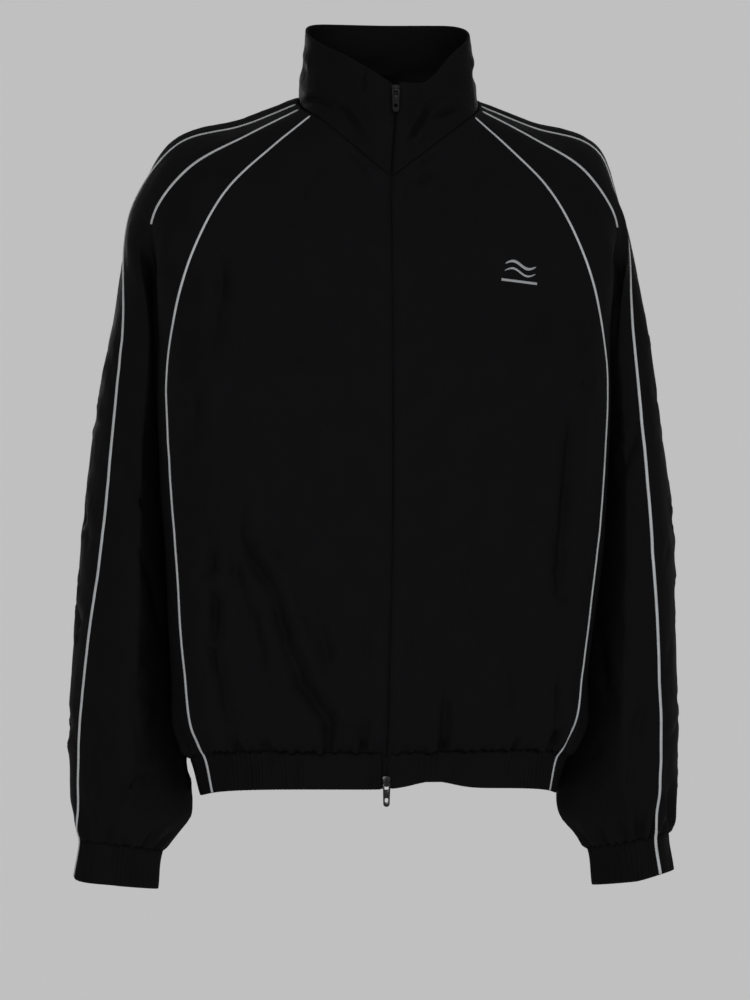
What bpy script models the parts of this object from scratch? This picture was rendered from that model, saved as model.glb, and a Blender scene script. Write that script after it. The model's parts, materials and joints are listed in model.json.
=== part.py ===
"""A zip-up track jacket as it hangs on an invisible wearer, hollow, with its neck, hem and cuffs open.

The frame: +Z up, the front looks along -Y, +X is the wearer's left. The origin is between the shoulders,
level with the side of the neck, where the jacket hangs on its wearer. Every length is in metres.

The cloth follows guide lines that run down the garment: the zip edge, the seams and a few lines between
them. Each guide has one point for each level, the levels run from the neck to the hem or to the cuff,
and a level's points are joined by a smooth section. A panel is the wall between two guides.
"""

import math

import bmesh
import bpy
from mathutils import Matrix, Vector

CLOTH = 0.0012  # wall of the shell cloth
COLLAR_WALL = 0.0024  # two layers of the shell cloth
CASING_WALL = 0.0014  # the turned-up edge with its elastic
SEAM_GAP = 0.0004  # between two panels at a seam
LAYER_GAP = 0.0004  # between two layers that lie on each other
ZIP_EDGE = 0.0022  # from the middle to the folded edge of each front
# How far the worn jacket sways towards +X: height, sway.
SWAY = ((0.010, 0.0075), (-0.100, 0.001), (-0.400, 0.001), (-0.620, -0.004))
# How far both overarm seams turn the same way, out and back: at the armpit, and at the wrist.
ARM_TURN = ((0.005, 0.008), (0.010, 0.014))
PIPING_WIDTH = 0.0030
PIPING_WALL = 0.0009
PIPING_STARTS_BELOW_NECK = 0.003

TAPE_EDGE = 0.0010  # from the middle to the inner edge of each zip tape
TAPE_WIDTH = 0.0115
TAPE_WALL = 0.0008
TAPE_DEPTH = COLLAR_WALL + LAYER_GAP  # its face, behind the face of the cloth
COIL_WIDTH = 0.0044
COIL_WALL = 0.0016
COIL_DEPTH = TAPE_DEPTH + TAPE_WALL + LAYER_GAP
COIL_STARTS_BELOW_TOP, COIL_ENDS_ABOVE_HEM = 0.0095, 0.0105

SLIDER_WIDTH, SLIDER_LENGTH, SLIDER_PLATE = 0.0082, 0.0105, 0.0013
SLIDER_NECK = 0.0008  # the post between its plates, in the gap between the tapes
BAIL_WIDTH, BAIL_LENGTH, BAIL_HEIGHT, BAIL_WALL = 0.0016, 0.0064, 0.0036, 0.0009
PULL_WIDTH, PULL_END_WIDTH, PULL_LENGTH, PULL_WALL = 0.0074, 0.0062, 0.0225, 0.0012
PULL_END_CHAMFER = 0.0012
PULL_HOLE_WIDTH, PULL_HOLE_LENGTH, PULL_HOLE_BELOW_AXIS = 0.0033, 0.0045, 0.0162
PULL_SLOT_WIDTH = 0.0041
PULL_BAR = 0.0011  # the crossbar that turns in the bail
PULL_AXIS_BELOW_BAIL = 0.0014  # from the middle of the bail's eye to the crossbar that hangs in it
PULL_EYE = 0.0052  # from the crossbar to the lower edge of the slot that the bail passes through

BLACK_CLOTH = ((0.0075, 0.0075, 0.0085), 0.55, 0.0)
BLACK_TAPE = ((0.006, 0.006, 0.007), 0.75, 0.0)
BLACK_METAL = ((0.02, 0.02, 0.022), 0.35, 0.9)
SILVER_PIPING = ((0.52, 0.53, 0.55), 0.45, 0.0)

# Each slider: its name, its height on the zip, and its bail's place above its middle.
ZIP_SLIDERS = (
    ("top", 0.0090, 0.0005),
    ("bottom", -0.6620, -0.0005),
)

# How many rows lie between two levels of the tables below.
# Torso levels: neck, yoke, shoulder, armpit, underarm, chest, waist, low, blouse, band top, band bottom.
TORSO_STEPS = (2, 2, 2, 4, 3, 2, 2, 2, 1, 1)
# Sleeve levels: the same to the underarm, then bicep, elbow, forearm, blouse, wrist, cuff top, cuff bottom.
SLEEVE_STEPS = (2, 2, 2, 4, 3, 2, 2, 2, 1, 1, 1)
COLLAR_STEPS = (2, 2)
ARMPIT, UNDERARM = 3, 4
TORSO_BAND = 9
SLEEVE_BAND = 10

# The largest folds, each a soft trough along a line: start, end, half width, depth.
BODY_FOLDS = (
    ((-0.152, -0.133, -0.370), (-0.108, -0.132, -0.525), 0.017, 0.0045),
    ((-0.108, -0.132, -0.525), (-0.067, -0.135, -0.605), 0.015, 0.0035),
    ((-0.196, -0.095, -0.410), (-0.180, -0.103, -0.595), 0.016, 0.0045),
    ((-0.181, -0.098, -0.140), (-0.172, -0.112, -0.255), 0.014, 0.0030),
    ((0.182, -0.105, -0.275), (0.168, -0.112, -0.525), 0.018, 0.0050),
    ((0.171, -0.106, -0.565), (0.170, -0.104, -0.605), 0.012, 0.0035),
    ((0.160, -0.110, -0.225), (0.196, -0.092, -0.300), 0.013, 0.0030),
    ((-0.120, 0.115, -0.200), (-0.060, 0.120, -0.480), 0.020, 0.0045),
    ((0.135, 0.112, -0.240), (0.100, 0.110, -0.550), 0.020, 0.0040),
    ((0.020, 0.120, -0.420), (-0.030, 0.118, -0.590), 0.017, 0.0035),
)
ARM_FOLDS = (
    ((-0.220, -0.050, -0.150), (-0.212, -0.045, -0.350), 0.014, 0.0040),
    ((-0.275, -0.030, -0.620), (-0.215, -0.040, -0.660), 0.013, 0.0035),
    ((-0.240, 0.085, -0.400), (-0.290, 0.050, -0.470), 0.014, 0.0040),
    ((0.245, -0.050, -0.145), (0.250, -0.050, -0.215), 0.012, 0.0035),
    ((0.222, -0.045, -0.520), (0.232, -0.052, -0.605), 0.013, 0.0040),
    ((0.250, -0.055, -0.590), (0.248, -0.052, -0.690), 0.012, 0.0035),
    ((0.290, 0.040, -0.330), (0.240, 0.088, -0.420), 0.014, 0.0040),
)

# Each row is one guide's point at one level: x outwards, y backwards, z up.
CENTRE_FRONT = (
    (ZIP_EDGE, -0.112, -0.075),
    (ZIP_EDGE, -0.119, -0.108),
    (ZIP_EDGE, -0.128, -0.155),
    (ZIP_EDGE, -0.134, -0.210),
    (ZIP_EDGE, -0.137, -0.270),
    (ZIP_EDGE, -0.138, -0.358),
    (ZIP_EDGE, -0.136, -0.462),
    (ZIP_EDGE, -0.139, -0.562),
    (ZIP_EDGE, -0.136, -0.616),
    (ZIP_EDGE, -0.122, -0.6350),
    (ZIP_EDGE, -0.119, -0.6695),
)
FRONT_SEAM = (
    (0.0785, -0.0720, -0.0120),
    (0.1140, -0.0820, -0.0430),
    (0.1590, -0.0940, -0.0900),
    (0.1920, -0.0940, -0.1520),
    (0.2150, -0.0820, -0.2500),
    (0.2130, -0.0800, -0.3500),
    (0.2045, -0.0820, -0.4600),
    (0.1950, -0.0880, -0.5600),
    (0.1865, -0.0880, -0.6150),
    (0.1740, -0.0700, -0.6390),
    (0.1660, -0.0680, -0.6755),
)
FRONT_SIDE = (
    (0.0835, -0.057, -0.0075),
    (0.1300, -0.071, -0.038),
    (0.1820, -0.080, -0.078),
    (0.2160, -0.080, -0.128),
    (0.2235, -0.052, -0.245),
    (0.2225, -0.050, -0.348),
    (0.2155, -0.052, -0.458),
    (0.2065, -0.058, -0.560),
    (0.2025, -0.056, -0.618),
    (0.1875, -0.045, -0.643),
    (0.1765, -0.042, -0.680),
)
# The armhole seam down to the underarm point, then the side seam.
FRONT_ARMHOLE = (
    (0.0870, -0.041, -0.003),
    (0.1400, -0.058, -0.032),
    (0.1960, -0.064, -0.066),
    (0.2260, -0.060, -0.106),
    (0.1880, 0.012, -0.235),
)
BACK_ARMHOLE = (
    (0.0830, 0.032, 0.014),
    (0.1330, 0.050, -0.022),
    (0.1930, 0.060, -0.062),
    (0.2180, 0.070, -0.106),
    (0.1880, 0.012, -0.235),
)
SIDE_SEAM = (
    (0.1810, 0.0140, -0.3450),
    (0.1720, 0.0140, -0.4550),
    (0.1740, 0.0120, -0.5600),
    (0.1820, 0.0100, -0.6180),
    (0.1810, 0.0060, -0.6430),
    (0.1760, 0.0060, -0.6800),
)
BACK_SIDE = (
    (0.0755, 0.042, 0.0135),
    (0.1220, 0.062, -0.028),
    (0.1780, 0.078, -0.078),
    (0.2060, 0.088, -0.128),
    (0.2000, 0.075, -0.240),
    (0.1920, 0.070, -0.345),
    (0.1840, 0.066, -0.455),
    (0.1840, 0.064, -0.560),
    (0.1900, 0.062, -0.618),
    (0.1780, 0.060, -0.643),
    (0.1710, 0.060, -0.680),
)
BACK_SEAM = (
    (0.0660, 0.050, 0.013),
    (0.1080, 0.072, -0.034),
    (0.1550, 0.094, -0.088),
    (0.1860, 0.104, -0.150),
    (0.1880, 0.104, -0.250),
    (0.1830, 0.098, -0.350),
    (0.1760, 0.092, -0.460),
    (0.1760, 0.092, -0.560),
    (0.1800, 0.090, -0.618),
    (0.1640, 0.080, -0.643),
    (0.1570, 0.080, -0.680),
)
CENTRE_BACK = (
    (0.0, 0.066, 0.008),
    (0.0, 0.092, -0.030),
    (0.0, 0.112, -0.085),
    (0.0, 0.124, -0.160),
    (0.0, 0.126, -0.260),
    (0.0, 0.122, -0.355),
    (0.0, 0.116, -0.460),
    (0.0, 0.118, -0.565),
    (0.0, 0.116, -0.620),
    (0.0, 0.104, -0.643),
    (0.0, 0.102, -0.680),
)
UNDER_SEAM = (
    (0.2100, 0.0220, -0.3450),
    (0.2020, 0.0280, -0.4550),
    (0.1960, 0.0200, -0.5600),
    (0.1900, 0.0080, -0.6500),
    (0.1895, 0.0000, -0.7050),
    (0.2120, -0.0060, -0.7380),
    (0.2170, -0.0080, -0.7750),
)
SLEEVE_FRONT = (
    (0.0885, -0.0280, 0.0010),
    (0.1415, -0.0400, -0.0250),
    (0.2030, -0.0420, -0.0500),
    (0.2365, -0.0400, -0.1020),
    (0.2360, -0.0500, -0.2300),
    (0.2450, -0.0520, -0.3450),
    (0.2470, -0.0560, -0.4550),
    (0.2470, -0.0580, -0.5600),
    (0.2480, -0.0580, -0.6500),
    (0.2480, -0.0540, -0.7030),
    (0.2530, -0.0440, -0.7300),
    (0.2580, -0.0460, -0.7680),
)
OVERARM_SEAM = (
    (0.0890, -0.0180, 0.0040),
    (0.1420, -0.0220, -0.0180),
    (0.2060, -0.0180, -0.0380),
    (0.2450, -0.0080, -0.0980),
    (0.2530, -0.0400, -0.2250),
    (0.2640, -0.0450, -0.3450),
    (0.2745, -0.0460, -0.4550),
    (0.2840, -0.0420, -0.5600),
    (0.2880, -0.0400, -0.6500),
    (0.2865, -0.0360, -0.7010),
    (0.2820, -0.0320, -0.7240),
    (0.2895, -0.0300, -0.7620),
)
OUTER_ARM = (
    (0.0890, -0.0040, 0.0100),
    (0.1425, 0.0040, -0.0080),
    (0.2110, 0.0060, -0.0320),
    (0.2470, 0.0140, -0.0960),
    (0.2700, 0.0120, -0.2250),
    (0.2885, 0.0140, -0.3450),
    (0.2990, 0.0160, -0.4550),
    (0.3040, 0.0100, -0.5600),
    (0.3040, -0.0020, -0.6500),
    (0.3010, -0.0060, -0.7000),
    (0.2945, -0.0080, -0.7220),
    (0.2995, -0.0100, -0.7600),
)
BACK_ARM = (
    (0.0875, 0.0140, 0.0140),
    (0.1390, 0.0300, -0.0120),
    (0.2060, 0.0360, -0.0420),
    (0.2410, 0.0480, -0.1000),
    (0.2450, 0.0800, -0.2250),
    (0.2480, 0.0860, -0.3450),
    (0.2440, 0.0900, -0.4550),
    (0.2450, 0.0800, -0.5600),
    (0.2480, 0.0600, -0.6500),
    (0.2490, 0.0460, -0.7030),
    (0.2530, 0.0280, -0.7300),
    (0.2580, 0.0260, -0.7680),
)
# The collar's guides go on up from the neck: half way, then the top edge.
COLLAR_GUIDES = (
    ((ZIP_EDGE, -0.103, -0.029), (ZIP_EDGE, -0.091, 0.015)),
    ((0.0640, -0.073, 0.014), (0.0480, -0.070, 0.0450)),
    ((0.0755, -0.058, 0.022), (0.0650, -0.055, 0.0550)),
    ((0.0820, -0.041, 0.0275), (0.0765, -0.036, 0.0640)),
    ((0.0845, -0.027, 0.031), (0.0805, -0.023, 0.0695)),
    ((0.0855, -0.016, 0.034), (0.0820, -0.013, 0.0735)),
    ((0.0855, -0.003, 0.0385), (0.0820, -0.001, 0.0780)),
    ((0.0840, 0.015, 0.043), (0.0795, 0.015, 0.0830)),
    ((0.0795, 0.031, 0.0455), (0.0730, 0.030, 0.0870)),
    ((0.0705, 0.042, 0.0465), (0.0635, 0.040, 0.0890)),
    ((0.0600, 0.050, 0.047), (0.0510, 0.048, 0.0900)),
    ((0.0, 0.063, 0.045), (0.0, 0.056, 0.0905)),
)


def catmull_rom(rows, level):
    """A guide's point at a level that may lie between two rows, on a smooth line through all of them."""
    index = min(int(level), len(rows) - 2)
    share = level - index
    near, far = Vector(rows[index]), Vector(rows[index + 1])
    before = Vector(rows[index - 1]) if index > 0 else 2 * near - far
    after = Vector(rows[index + 2]) if index + 2 < len(rows) else 2 * far - near
    slope_near = even_slope(before, near, after=far) * (far - near).length
    slope_far = even_slope(near, far, after=after) * (far - near).length
    return hermite(near, slope_near, far, slope_far, share)


def even_slope(before, here, after):
    """The direction of a smooth line at a point, from its neighbours, whose distances may differ."""
    back, ahead = here - before, after - here
    if back.length < 1e-9 or ahead.length < 1e-9:
        return (back + ahead).normalized()
    weighted = back * (ahead.length / back.length) + ahead * (back.length / ahead.length)
    return weighted / (back.length + ahead.length)


def hermite(start, start_slope, end, end_slope, share):
    square, cube = share**2, share**3
    return (
        (2 * cube - 3 * square + 1) * start
        + (cube - 2 * square + share) * start_slope
        + (3 * square - 2 * cube) * end
        + (cube - square) * end_slope
    )


def ease(share):
    share = min(1.0, max(0.0, share))
    return share * share * (3 - 2 * share)


def section_points(guides, first_slope, last_slope, columns, flat_spans=None):
    """Points along one section through its guides' points, with that many steps between each two.

    flat_spans holds, for a span pressed flatter than a round one, how strong its slopes are at its ends.
    """
    slopes = [first_slope]
    for before, here, after in zip(guides, guides[1:], guides[2:]):
        slopes.append(even_slope(before, here, after))
    slopes.append(last_slope)
    points = [guides[0].copy()]
    for index, steps in enumerate(columns):
        start, end = guides[index], guides[index + 1]
        span = (end - start).length
        leaving, arriving = (flat_spans or {}).get(index, (1.0, 1.0))
        for step in range(1, steps + 1):
            start_slope, end_slope = slopes[index] * span * leaving, slopes[index + 1] * span * arriving
            points.append(hermite(start, start_slope, end, end_slope, step / steps))
    return points


def pressed(level, strength):
    """A slope's strength beside the arm: full over the shoulder, less where arm and body lie side by side."""
    return 1 + (strength - 1) * ease(level - ARMPIT + 1)


def row_levels(steps):
    """The levels of a panel's rows: each stretch between two named levels in its number of steps."""
    levels = [0.0]
    for index, count in enumerate(steps):
        levels += [index + step / count for step in range(1, count + 1)]
    return levels


def seam_point(armhole, below, level):
    """A point on an armhole seam or, under the arm, on the side or under seam that goes on from its end."""
    if level <= UNDERARM:
        return catmull_rom(armhole, level)
    return catmull_rom((armhole[-1], *below), level - UNDERARM)


def zip_slope(here, ahead):
    """The section's slope at the zip near the neck, where the zip holds the edge flat."""
    natural = ahead - here
    return Vector((natural.x, natural.y * 0.3, natural.z)).normalized()


def across_slope(level, before, here, after, ring_slope):
    """The section's slope at the armhole: smooth over the shoulder, turned into the cleft by the underarm."""
    over_shoulder = even_slope(before, here, after)
    return over_shoulder.lerp(ring_slope, ease(level - ARMPIT))


def torso_front(level, columns):
    """The section from the zip edge to the armhole or side seam."""
    points = [catmull_rom(rows, level) for rows in (CENTRE_FRONT, FRONT_SEAM, FRONT_SIDE)]
    points.append(seam_point(FRONT_ARMHOLE, SIDE_SEAM, level))
    first = zip_slope(*points[:2]).lerp(Vector((1, 0, 0)), ease(level / 2))
    ring = even_slope(points[2], points[3], catmull_rom(BACK_SIDE, level))
    if level <= UNDERARM:
        sleeve = catmull_rom(SLEEVE_FRONT, level)
        ring = across_slope(level, points[2], points[3], sleeve, ring)
    return section_points(points, first, ring, columns, {2: (pressed(level, 0.2), pressed(level, 0.5))})


def torso_back(level, columns):
    """The section from the armhole or side seam to the middle of the back."""
    points = [catmull_rom(rows, level) for rows in (BACK_SIDE, BACK_SEAM, CENTRE_BACK)]
    points.insert(0, seam_point(BACK_ARMHOLE, SIDE_SEAM, level))
    ring = even_slope(catmull_rom(FRONT_SIDE, level), points[0], points[1])
    if level <= UNDERARM:
        sleeve = catmull_rom(BACK_ARM, level)
        ring = across_slope(level, sleeve, points[0], points[1], ring)
    flat = {0: (pressed(level, 0.5), pressed(level, 0.2))}
    return section_points(points, ring, Vector((-1, 0, 0)), columns, flat)


def sleeve(level, columns, side):
    """The section from the front armhole or under seam, round the outside, to the back one.

    side is 1 on the wearer's left arm and -1 on the right one. Both arms are turned a little the same way.
    """
    middle = [catmull_rom(rows, level) for rows in (SLEEVE_FRONT, OVERARM_SEAM, OUTER_ARM, BACK_ARM)]
    (upper_out, upper_back), (lower_out, lower_back) = ARM_TURN
    share = ease((level - ARMPIT) / (len(OVERARM_SEAM) - 1 - ARMPIT))
    upper, lower = Vector((upper_out, upper_back, 0)), Vector((lower_out, lower_back, 0))
    middle[1] -= upper.lerp(lower, share) * ease(level - ARMPIT + 1) * side
    front, back = (seam_point(rows, UNDER_SEAM, level) for rows in (FRONT_ARMHOLE, BACK_ARMHOLE))
    points = [front, *middle, back]
    first, last = ((ahead - here).normalized() for here, ahead in (points[:2], points[-2:]))
    if level <= UNDERARM:
        over_front = even_slope(catmull_rom(FRONT_SIDE, level), points[0], points[1])
        over_back = even_slope(points[-2], points[-1], catmull_rom(BACK_SIDE, level))
        first, last = over_front.lerp(first, ease(level - ARMPIT)), over_back.lerp(last, ease(level - ARMPIT))
    else:
        round_slope = even_slope(points[-2], front, points[1])
        first, last = (slope.lerp(round_slope, ease(level - UNDERARM)) for slope in (first, last))
    flat = {0: (pressed(level, 0.7), pressed(level, 0.3)), 4: (pressed(level, 0.3), pressed(level, 0.7))}
    return section_points(points, first, last, columns, flat)


def collar(level, columns):
    """The section from the zip edge to the middle of the back, at the neck and above."""
    neck = (
        CENTRE_FRONT, FRONT_SEAM, FRONT_SIDE, FRONT_ARMHOLE, SLEEVE_FRONT, OVERARM_SEAM,
        OUTER_ARM, BACK_ARM, BACK_ARMHOLE, BACK_SIDE, BACK_SEAM, CENTRE_BACK,
    )
    points = [catmull_rom((rows[0], *above), level) for rows, above in zip(neck, COLLAR_GUIDES)]
    return section_points(points, zip_slope(*points[:2]), Vector((-1, 0, 0)), columns)


def fold_depth(point, folds):
    """How far the folds press the cloth in at a point."""
    depth = 0.0
    for start, end, half_width, deepest in folds:
        start, line = Vector(start), Vector(end) - Vector(start)
        along = min(1.0, max(0.0, (point - start).dot(line) / line.length_squared))
        away = (point - start - line * along).length
        depth += deepest * math.exp(-((away / half_width) ** 2))
    return depth


def folded(rows, folds, side):
    """The grid with its folds pressed in, apart from the edge columns that other pieces are sewn to."""
    moved = [[point.copy() for point in row] for row in rows]
    for row, line in zip(moved, normals(rows)):
        for column in range(1, len(row) - 1):
            point = row[column]
            worn = Vector((point.x * side, point.y, point.z))
            point -= line[column] * fold_depth(worn, folds)
    return moved


FRONT_COLUMNS, FRONT_SIDE_COLUMNS = (7,), (1, 3)
SLEEVE_FRONT_COLUMNS, SLEEVE_BACK_COLUMNS = (3, 2), (2, 2, 3)
BACK_COLUMNS = (3, 1, 5)
COLLAR_COLUMNS = (*FRONT_COLUMNS, 1, 1, 1, 1, 1, 1, 1, 1, 1, 4)


def grids(side):
    """Each panel's grid of outer points for one side, as if on +X: a list of rows, from the neck down."""
    torso_rows, sleeve_rows = row_levels(TORSO_STEPS), row_levels(SLEEVE_STEPS)
    front = [torso_front(level, FRONT_COLUMNS + FRONT_SIDE_COLUMNS) for level in torso_rows]
    arm = [sleeve(level, SLEEVE_FRONT_COLUMNS + SLEEVE_BACK_COLUMNS, side) for level in sleeve_rows]
    back = [torso_back(level, BACK_COLUMNS) for level in torso_rows]
    front, back = folded(front, BODY_FOLDS, side), folded(back, BODY_FOLDS, side)
    arm = folded(arm, ARM_FOLDS, side)
    front_edge, arm_edge = sum(FRONT_COLUMNS), sum(SLEEVE_FRONT_COLUMNS)
    return {
        "front": [row[: front_edge + 1] for row in front],
        "side_front": [row[front_edge:] for row in front],
        "sleeve_front": [row[: arm_edge + 1] for row in arm],
        "sleeve_back": [row[arm_edge:] for row in arm],
        "back": back,
    }


def neighbours(half):
    """The grids on the two sides of each panel. At an armhole the neighbour changes under the arm."""
    split = sum(TORSO_STEPS[:UNDERARM]) + 1
    return {
        "front": (None, half["side_front"]),
        "side_front": (half["front"], half["sleeve_front"][:split] + half["back"][split:]),
        "sleeve_front": (half["side_front"][:split] + half["sleeve_back"][split:], half["sleeve_back"]),
        "sleeve_back": (half["sleeve_front"], half["back"][:split] + half["sleeve_front"][split:]),
        "back": (half["sleeve_back"][:split] + half["side_front"][split:], None),
    }


def mirrored(rows):
    return [[Vector((-point.x, point.y, point.z)) for point in reversed(row)] for row in rows]


def joined(rows, others):
    """Two grids that share a column, as one."""
    return [row[:-1] + other for row, other in zip(rows, others)]


def bend_room(beyond, seam, inner):
    """How far a panel's edge is drawn in where its neighbour meets it at an angle, to keep the walls apart."""
    bend = math.pi - (beyond - seam).angle(inner - seam)
    return CLOTH * math.tan(min(bend, 2.3) / 2)


def drawn_in(rows, before, after):
    """A panel's grid, drawn in by half a seam gap, and by more where it meets its neighbour at an angle."""
    made = [[point.copy() for point in row] for row in rows]
    for index, row in enumerate(made):
        for edge, inner, beyond in ((0, 1, before), (-1, -2, after)):
            room = SEAM_GAP / 2
            if beyond:
                outer = beyond[index][-2 if edge == 0 else 1]
                room += bend_room(outer, rows[index][edge], rows[index][inner])
                row[edge] += (row[inner] - row[edge]).normalized() * room
    return shortened(made, 0, SEAM_GAP)


def shortened(rows, edge, amount):
    """The grid with its first or last row drawn in."""
    made = [[point.copy() for point in row] for row in rows]
    inner = 1 if edge == 0 else -2
    for near, far in zip(made[edge], made[inner]):
        near += (far - near).normalized() * amount
    return made


def normals(rows):
    """The unit normal at each point of a grid, on its outer side."""
    found = []
    for i, row in enumerate(rows):
        line = []
        for j in range(len(row)):
            along = rows[min(i + 1, len(rows) - 1)][j] - rows[max(i - 1, 0)][j]
            across = row[min(j + 1, len(row) - 1)] - row[max(j - 1, 0)]
            line.append(along.cross(across).normalized())
        found.append(line)
    return found


def moved_out(rows, distance):
    return [
        [point + normal * distance for point, normal in zip(row, line)]
        for row, line in zip(rows, normals(rows))
    ]


def swayed(point):
    """The point in the worn jacket, which stands a little off its middle by its height."""
    (high, shift), rest = SWAY[0], SWAY[1:]
    for low, next_shift in rest:
        if point.z > low:
            share = ease((high - point.z) / (high - low))
            return point + Vector((shift + (next_shift - shift) * share, 0, 0))
        high, shift = low, next_shift
    return point + Vector((shift, 0, 0))


def material(name, look):
    colour, roughness, metallic = look
    made = bpy.data.materials.new(name)
    made.use_nodes = True
    shader = made.node_tree.nodes["Principled BSDF"]
    shader.inputs["Base Color"].default_value = (*colour, 1)
    shader.inputs["Roughness"].default_value = roughness
    shader.inputs["Metallic"].default_value = metallic
    return made


def new_object(name, mesh, look, collection="track_jacket"):
    made = bpy.data.objects.new(name, mesh)
    if look:
        mesh.materials.append(material(name, look))
    bpy.data.collections[collection].objects.link(made)
    return made


def wall(name, rows, thickness, look, outwards=False):
    """A closed wall on a grid of points: the grid is its outer face, or its inner face if outwards is true."""
    height, width = len(rows) - 1, len(rows[0]) - 1
    shape = bmesh.new()
    bmesh.ops.create_grid(shape, x_segments=width, y_segments=height, size=1)
    for vertex in shape.verts:
        column = round((vertex.co.x + 1) / 2 * width)
        row = round((1 - vertex.co.y) / 2 * height)
        vertex.co = swayed(rows[row][column])
    mesh = bpy.data.meshes.new(name)
    shape.to_mesh(mesh)
    shape.free()
    made = new_object(name, mesh, look)
    solid = made.modifiers.new("wall", "SOLIDIFY")
    solid.thickness = thickness
    solid.offset = 1 if outwards else -1
    return made


def wall_on(side, name, rows, thickness, look, outwards=False):
    """A wall on one side, given as if on +X. The wearer's left is +X."""
    if side == 1:
        return wall(f"{name}_left", rows, thickness, look, outwards)
    return wall(f"{name}_right", mirrored(rows), thickness, look, outwards)


def build_panels(halves):
    """The fronts, side fronts and sleeves on both sides, and the back."""
    backs = []
    for side, half in halves.items():
        beside = neighbours(half)
        panels = {name: drawn_in(rows, *beside[name]) for name, rows in half.items()}
        backs.append(panels.pop("back"))
        for name, rows in panels.items():
            wall_on(side, name, rows, CLOTH, BLACK_CLOTH)
    wall("back", joined(backs[0], mirrored(backs[1])), CLOTH, BLACK_CLOTH)


def strip_on_seam(left_rows, right_rows, last=None):
    """The strip that lies on a seam: the seam's points and, half its width away, one on each panel."""
    rows = []
    for left, right in list(zip(left_rows, right_rows))[:last]:
        seam = right[0]
        before = seam + (left[-2] - seam).normalized() * PIPING_WIDTH / 2
        after = seam + (right[1] - seam).normalized() * PIPING_WIDTH / 2
        rows.append([before, seam, after])
    return shortened(moved_out(rows, LAYER_GAP), 0, PIPING_STARTS_BELOW_NECK)


def build_piping(side, half):
    """A strip on each piped seam. The armhole's ends where the seam turns in under the arm."""
    armpit_row = sum(TORSO_STEPS[:ARMPIT]) + 1
    seams = {
        "piping_front": (half["front"], half["side_front"], None),
        "piping_armhole": (half["side_front"], half["sleeve_front"], armpit_row),
        "piping_overarm": (half["sleeve_front"], half["sleeve_back"], None),
    }
    for name, seam in seams.items():
        wall_on(side, name, strip_on_seam(*seam), PIPING_WALL, SILVER_PIPING, outwards=True)


def collar_grid():
    """The collar's half from its top edge down to the neck seam."""
    return [collar(level, COLLAR_COLUMNS) for level in reversed(row_levels(COLLAR_STEPS))]


def build_collar(rows):
    """The stand collar, open at the zip."""
    whole = joined(rows, mirrored(rows))
    wall("collar", shortened(whole, -1, SEAM_GAP / 2), COLLAR_WALL, BLACK_CLOTH)


def build_zip_strips(half, collar_rows):
    """The tapes behind the edges of the fronts and the collar, and the coil behind the tapes."""
    edge_rows = [row[:2] for row in collar_rows[:-1] + half["front"]]
    tape, coil = [], []
    for edge, inner in edge_rows:
        way = (inner - edge).normalized()
        middle = edge - way * ZIP_EDGE
        tape.append([middle + way * TAPE_EDGE, middle + way * TAPE_WIDTH / 2, middle + way * TAPE_WIDTH])
        coil.append([middle + way * COIL_WIDTH / 2])
    rows = moved_out(tape, -TAPE_DEPTH)
    wall("zip_tape_left", rows, TAPE_WALL, BLACK_TAPE)
    wall("zip_tape_right", mirrored(rows), TAPE_WALL, BLACK_TAPE)
    centre = [[Vector((-point.x, point.y, point.z)), point] for (point,) in coil]
    centre = shortened(shortened(centre, 0, COIL_STARTS_BELOW_TOP), -1, COIL_ENDS_ABOVE_HEM)
    wall("zip_coil", moved_out(centre, -COIL_DEPTH), COIL_WALL, BLACK_TAPE)


def build_hem_casing(half):
    """The turned-up hem, which holds the elastic, from one zip tape round the back to the other."""
    band_row = sum(TORSO_STEPS[:TORSO_BAND])
    rows = []
    for row in joined(joined(half["front"], half["side_front"]), half["back"])[band_row:]:
        start = row[0] + (row[1] - row[0]).normalized() * TAPE_WIDTH
        rows.append([start, *row[1:]])
    wall("hem_casing", moved_out(joined(rows, mirrored(rows)), -CLOTH - LAYER_GAP), CASING_WALL, BLACK_CLOTH)


def build_cuff_casing(side, half):
    """The turned-up cuff, which holds the elastic. Its ends stay apart where they meet at the under seam."""
    cuff_row = sum(SLEEVE_STEPS[:SLEEVE_BAND])
    rows = moved_out(joined(half["sleeve_front"], half["sleeve_back"])[cuff_row:], -CLOTH - LAYER_GAP)
    for row in rows:
        row[0] += (row[1] - row[0]).normalized() * CASING_WALL
        row[-1] += (row[-2] - row[-1]).normalized() * CASING_WALL
    wall_on(side, "cuff_casing", rows, CASING_WALL, BLACK_CLOTH)


def box(name, size, centre, look=None, collection="cutters"):
    """A box, as a mesh object with its size in its mesh. A helper goes to the cutters and isn't rendered."""
    shape = bmesh.new()
    bmesh.ops.create_cube(shape, size=1)
    bmesh.ops.scale(shape, vec=size, verts=shape.verts)
    bmesh.ops.translate(shape, vec=centre, verts=shape.verts)
    mesh = bpy.data.meshes.new(name)
    shape.to_mesh(mesh)
    shape.free()
    made = new_object(name, mesh, look, collection)
    if collection == "cutters":
        made.hide_render = True
        made.display_type = "WIRE"
    return made


def combine(target, helper, operation):
    step = target.modifiers.new(helper.name, "BOOLEAN")
    step.operation = operation
    step.object = helper
    helper.parent = target.parent


def zip_line(half, collar_rows):
    """The line of the zip on the face of the cloth, from the top down."""
    return [swayed(Vector((0, row[0].y, row[0].z))) for row in collar_rows[:-1] + half["front"]]


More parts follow.
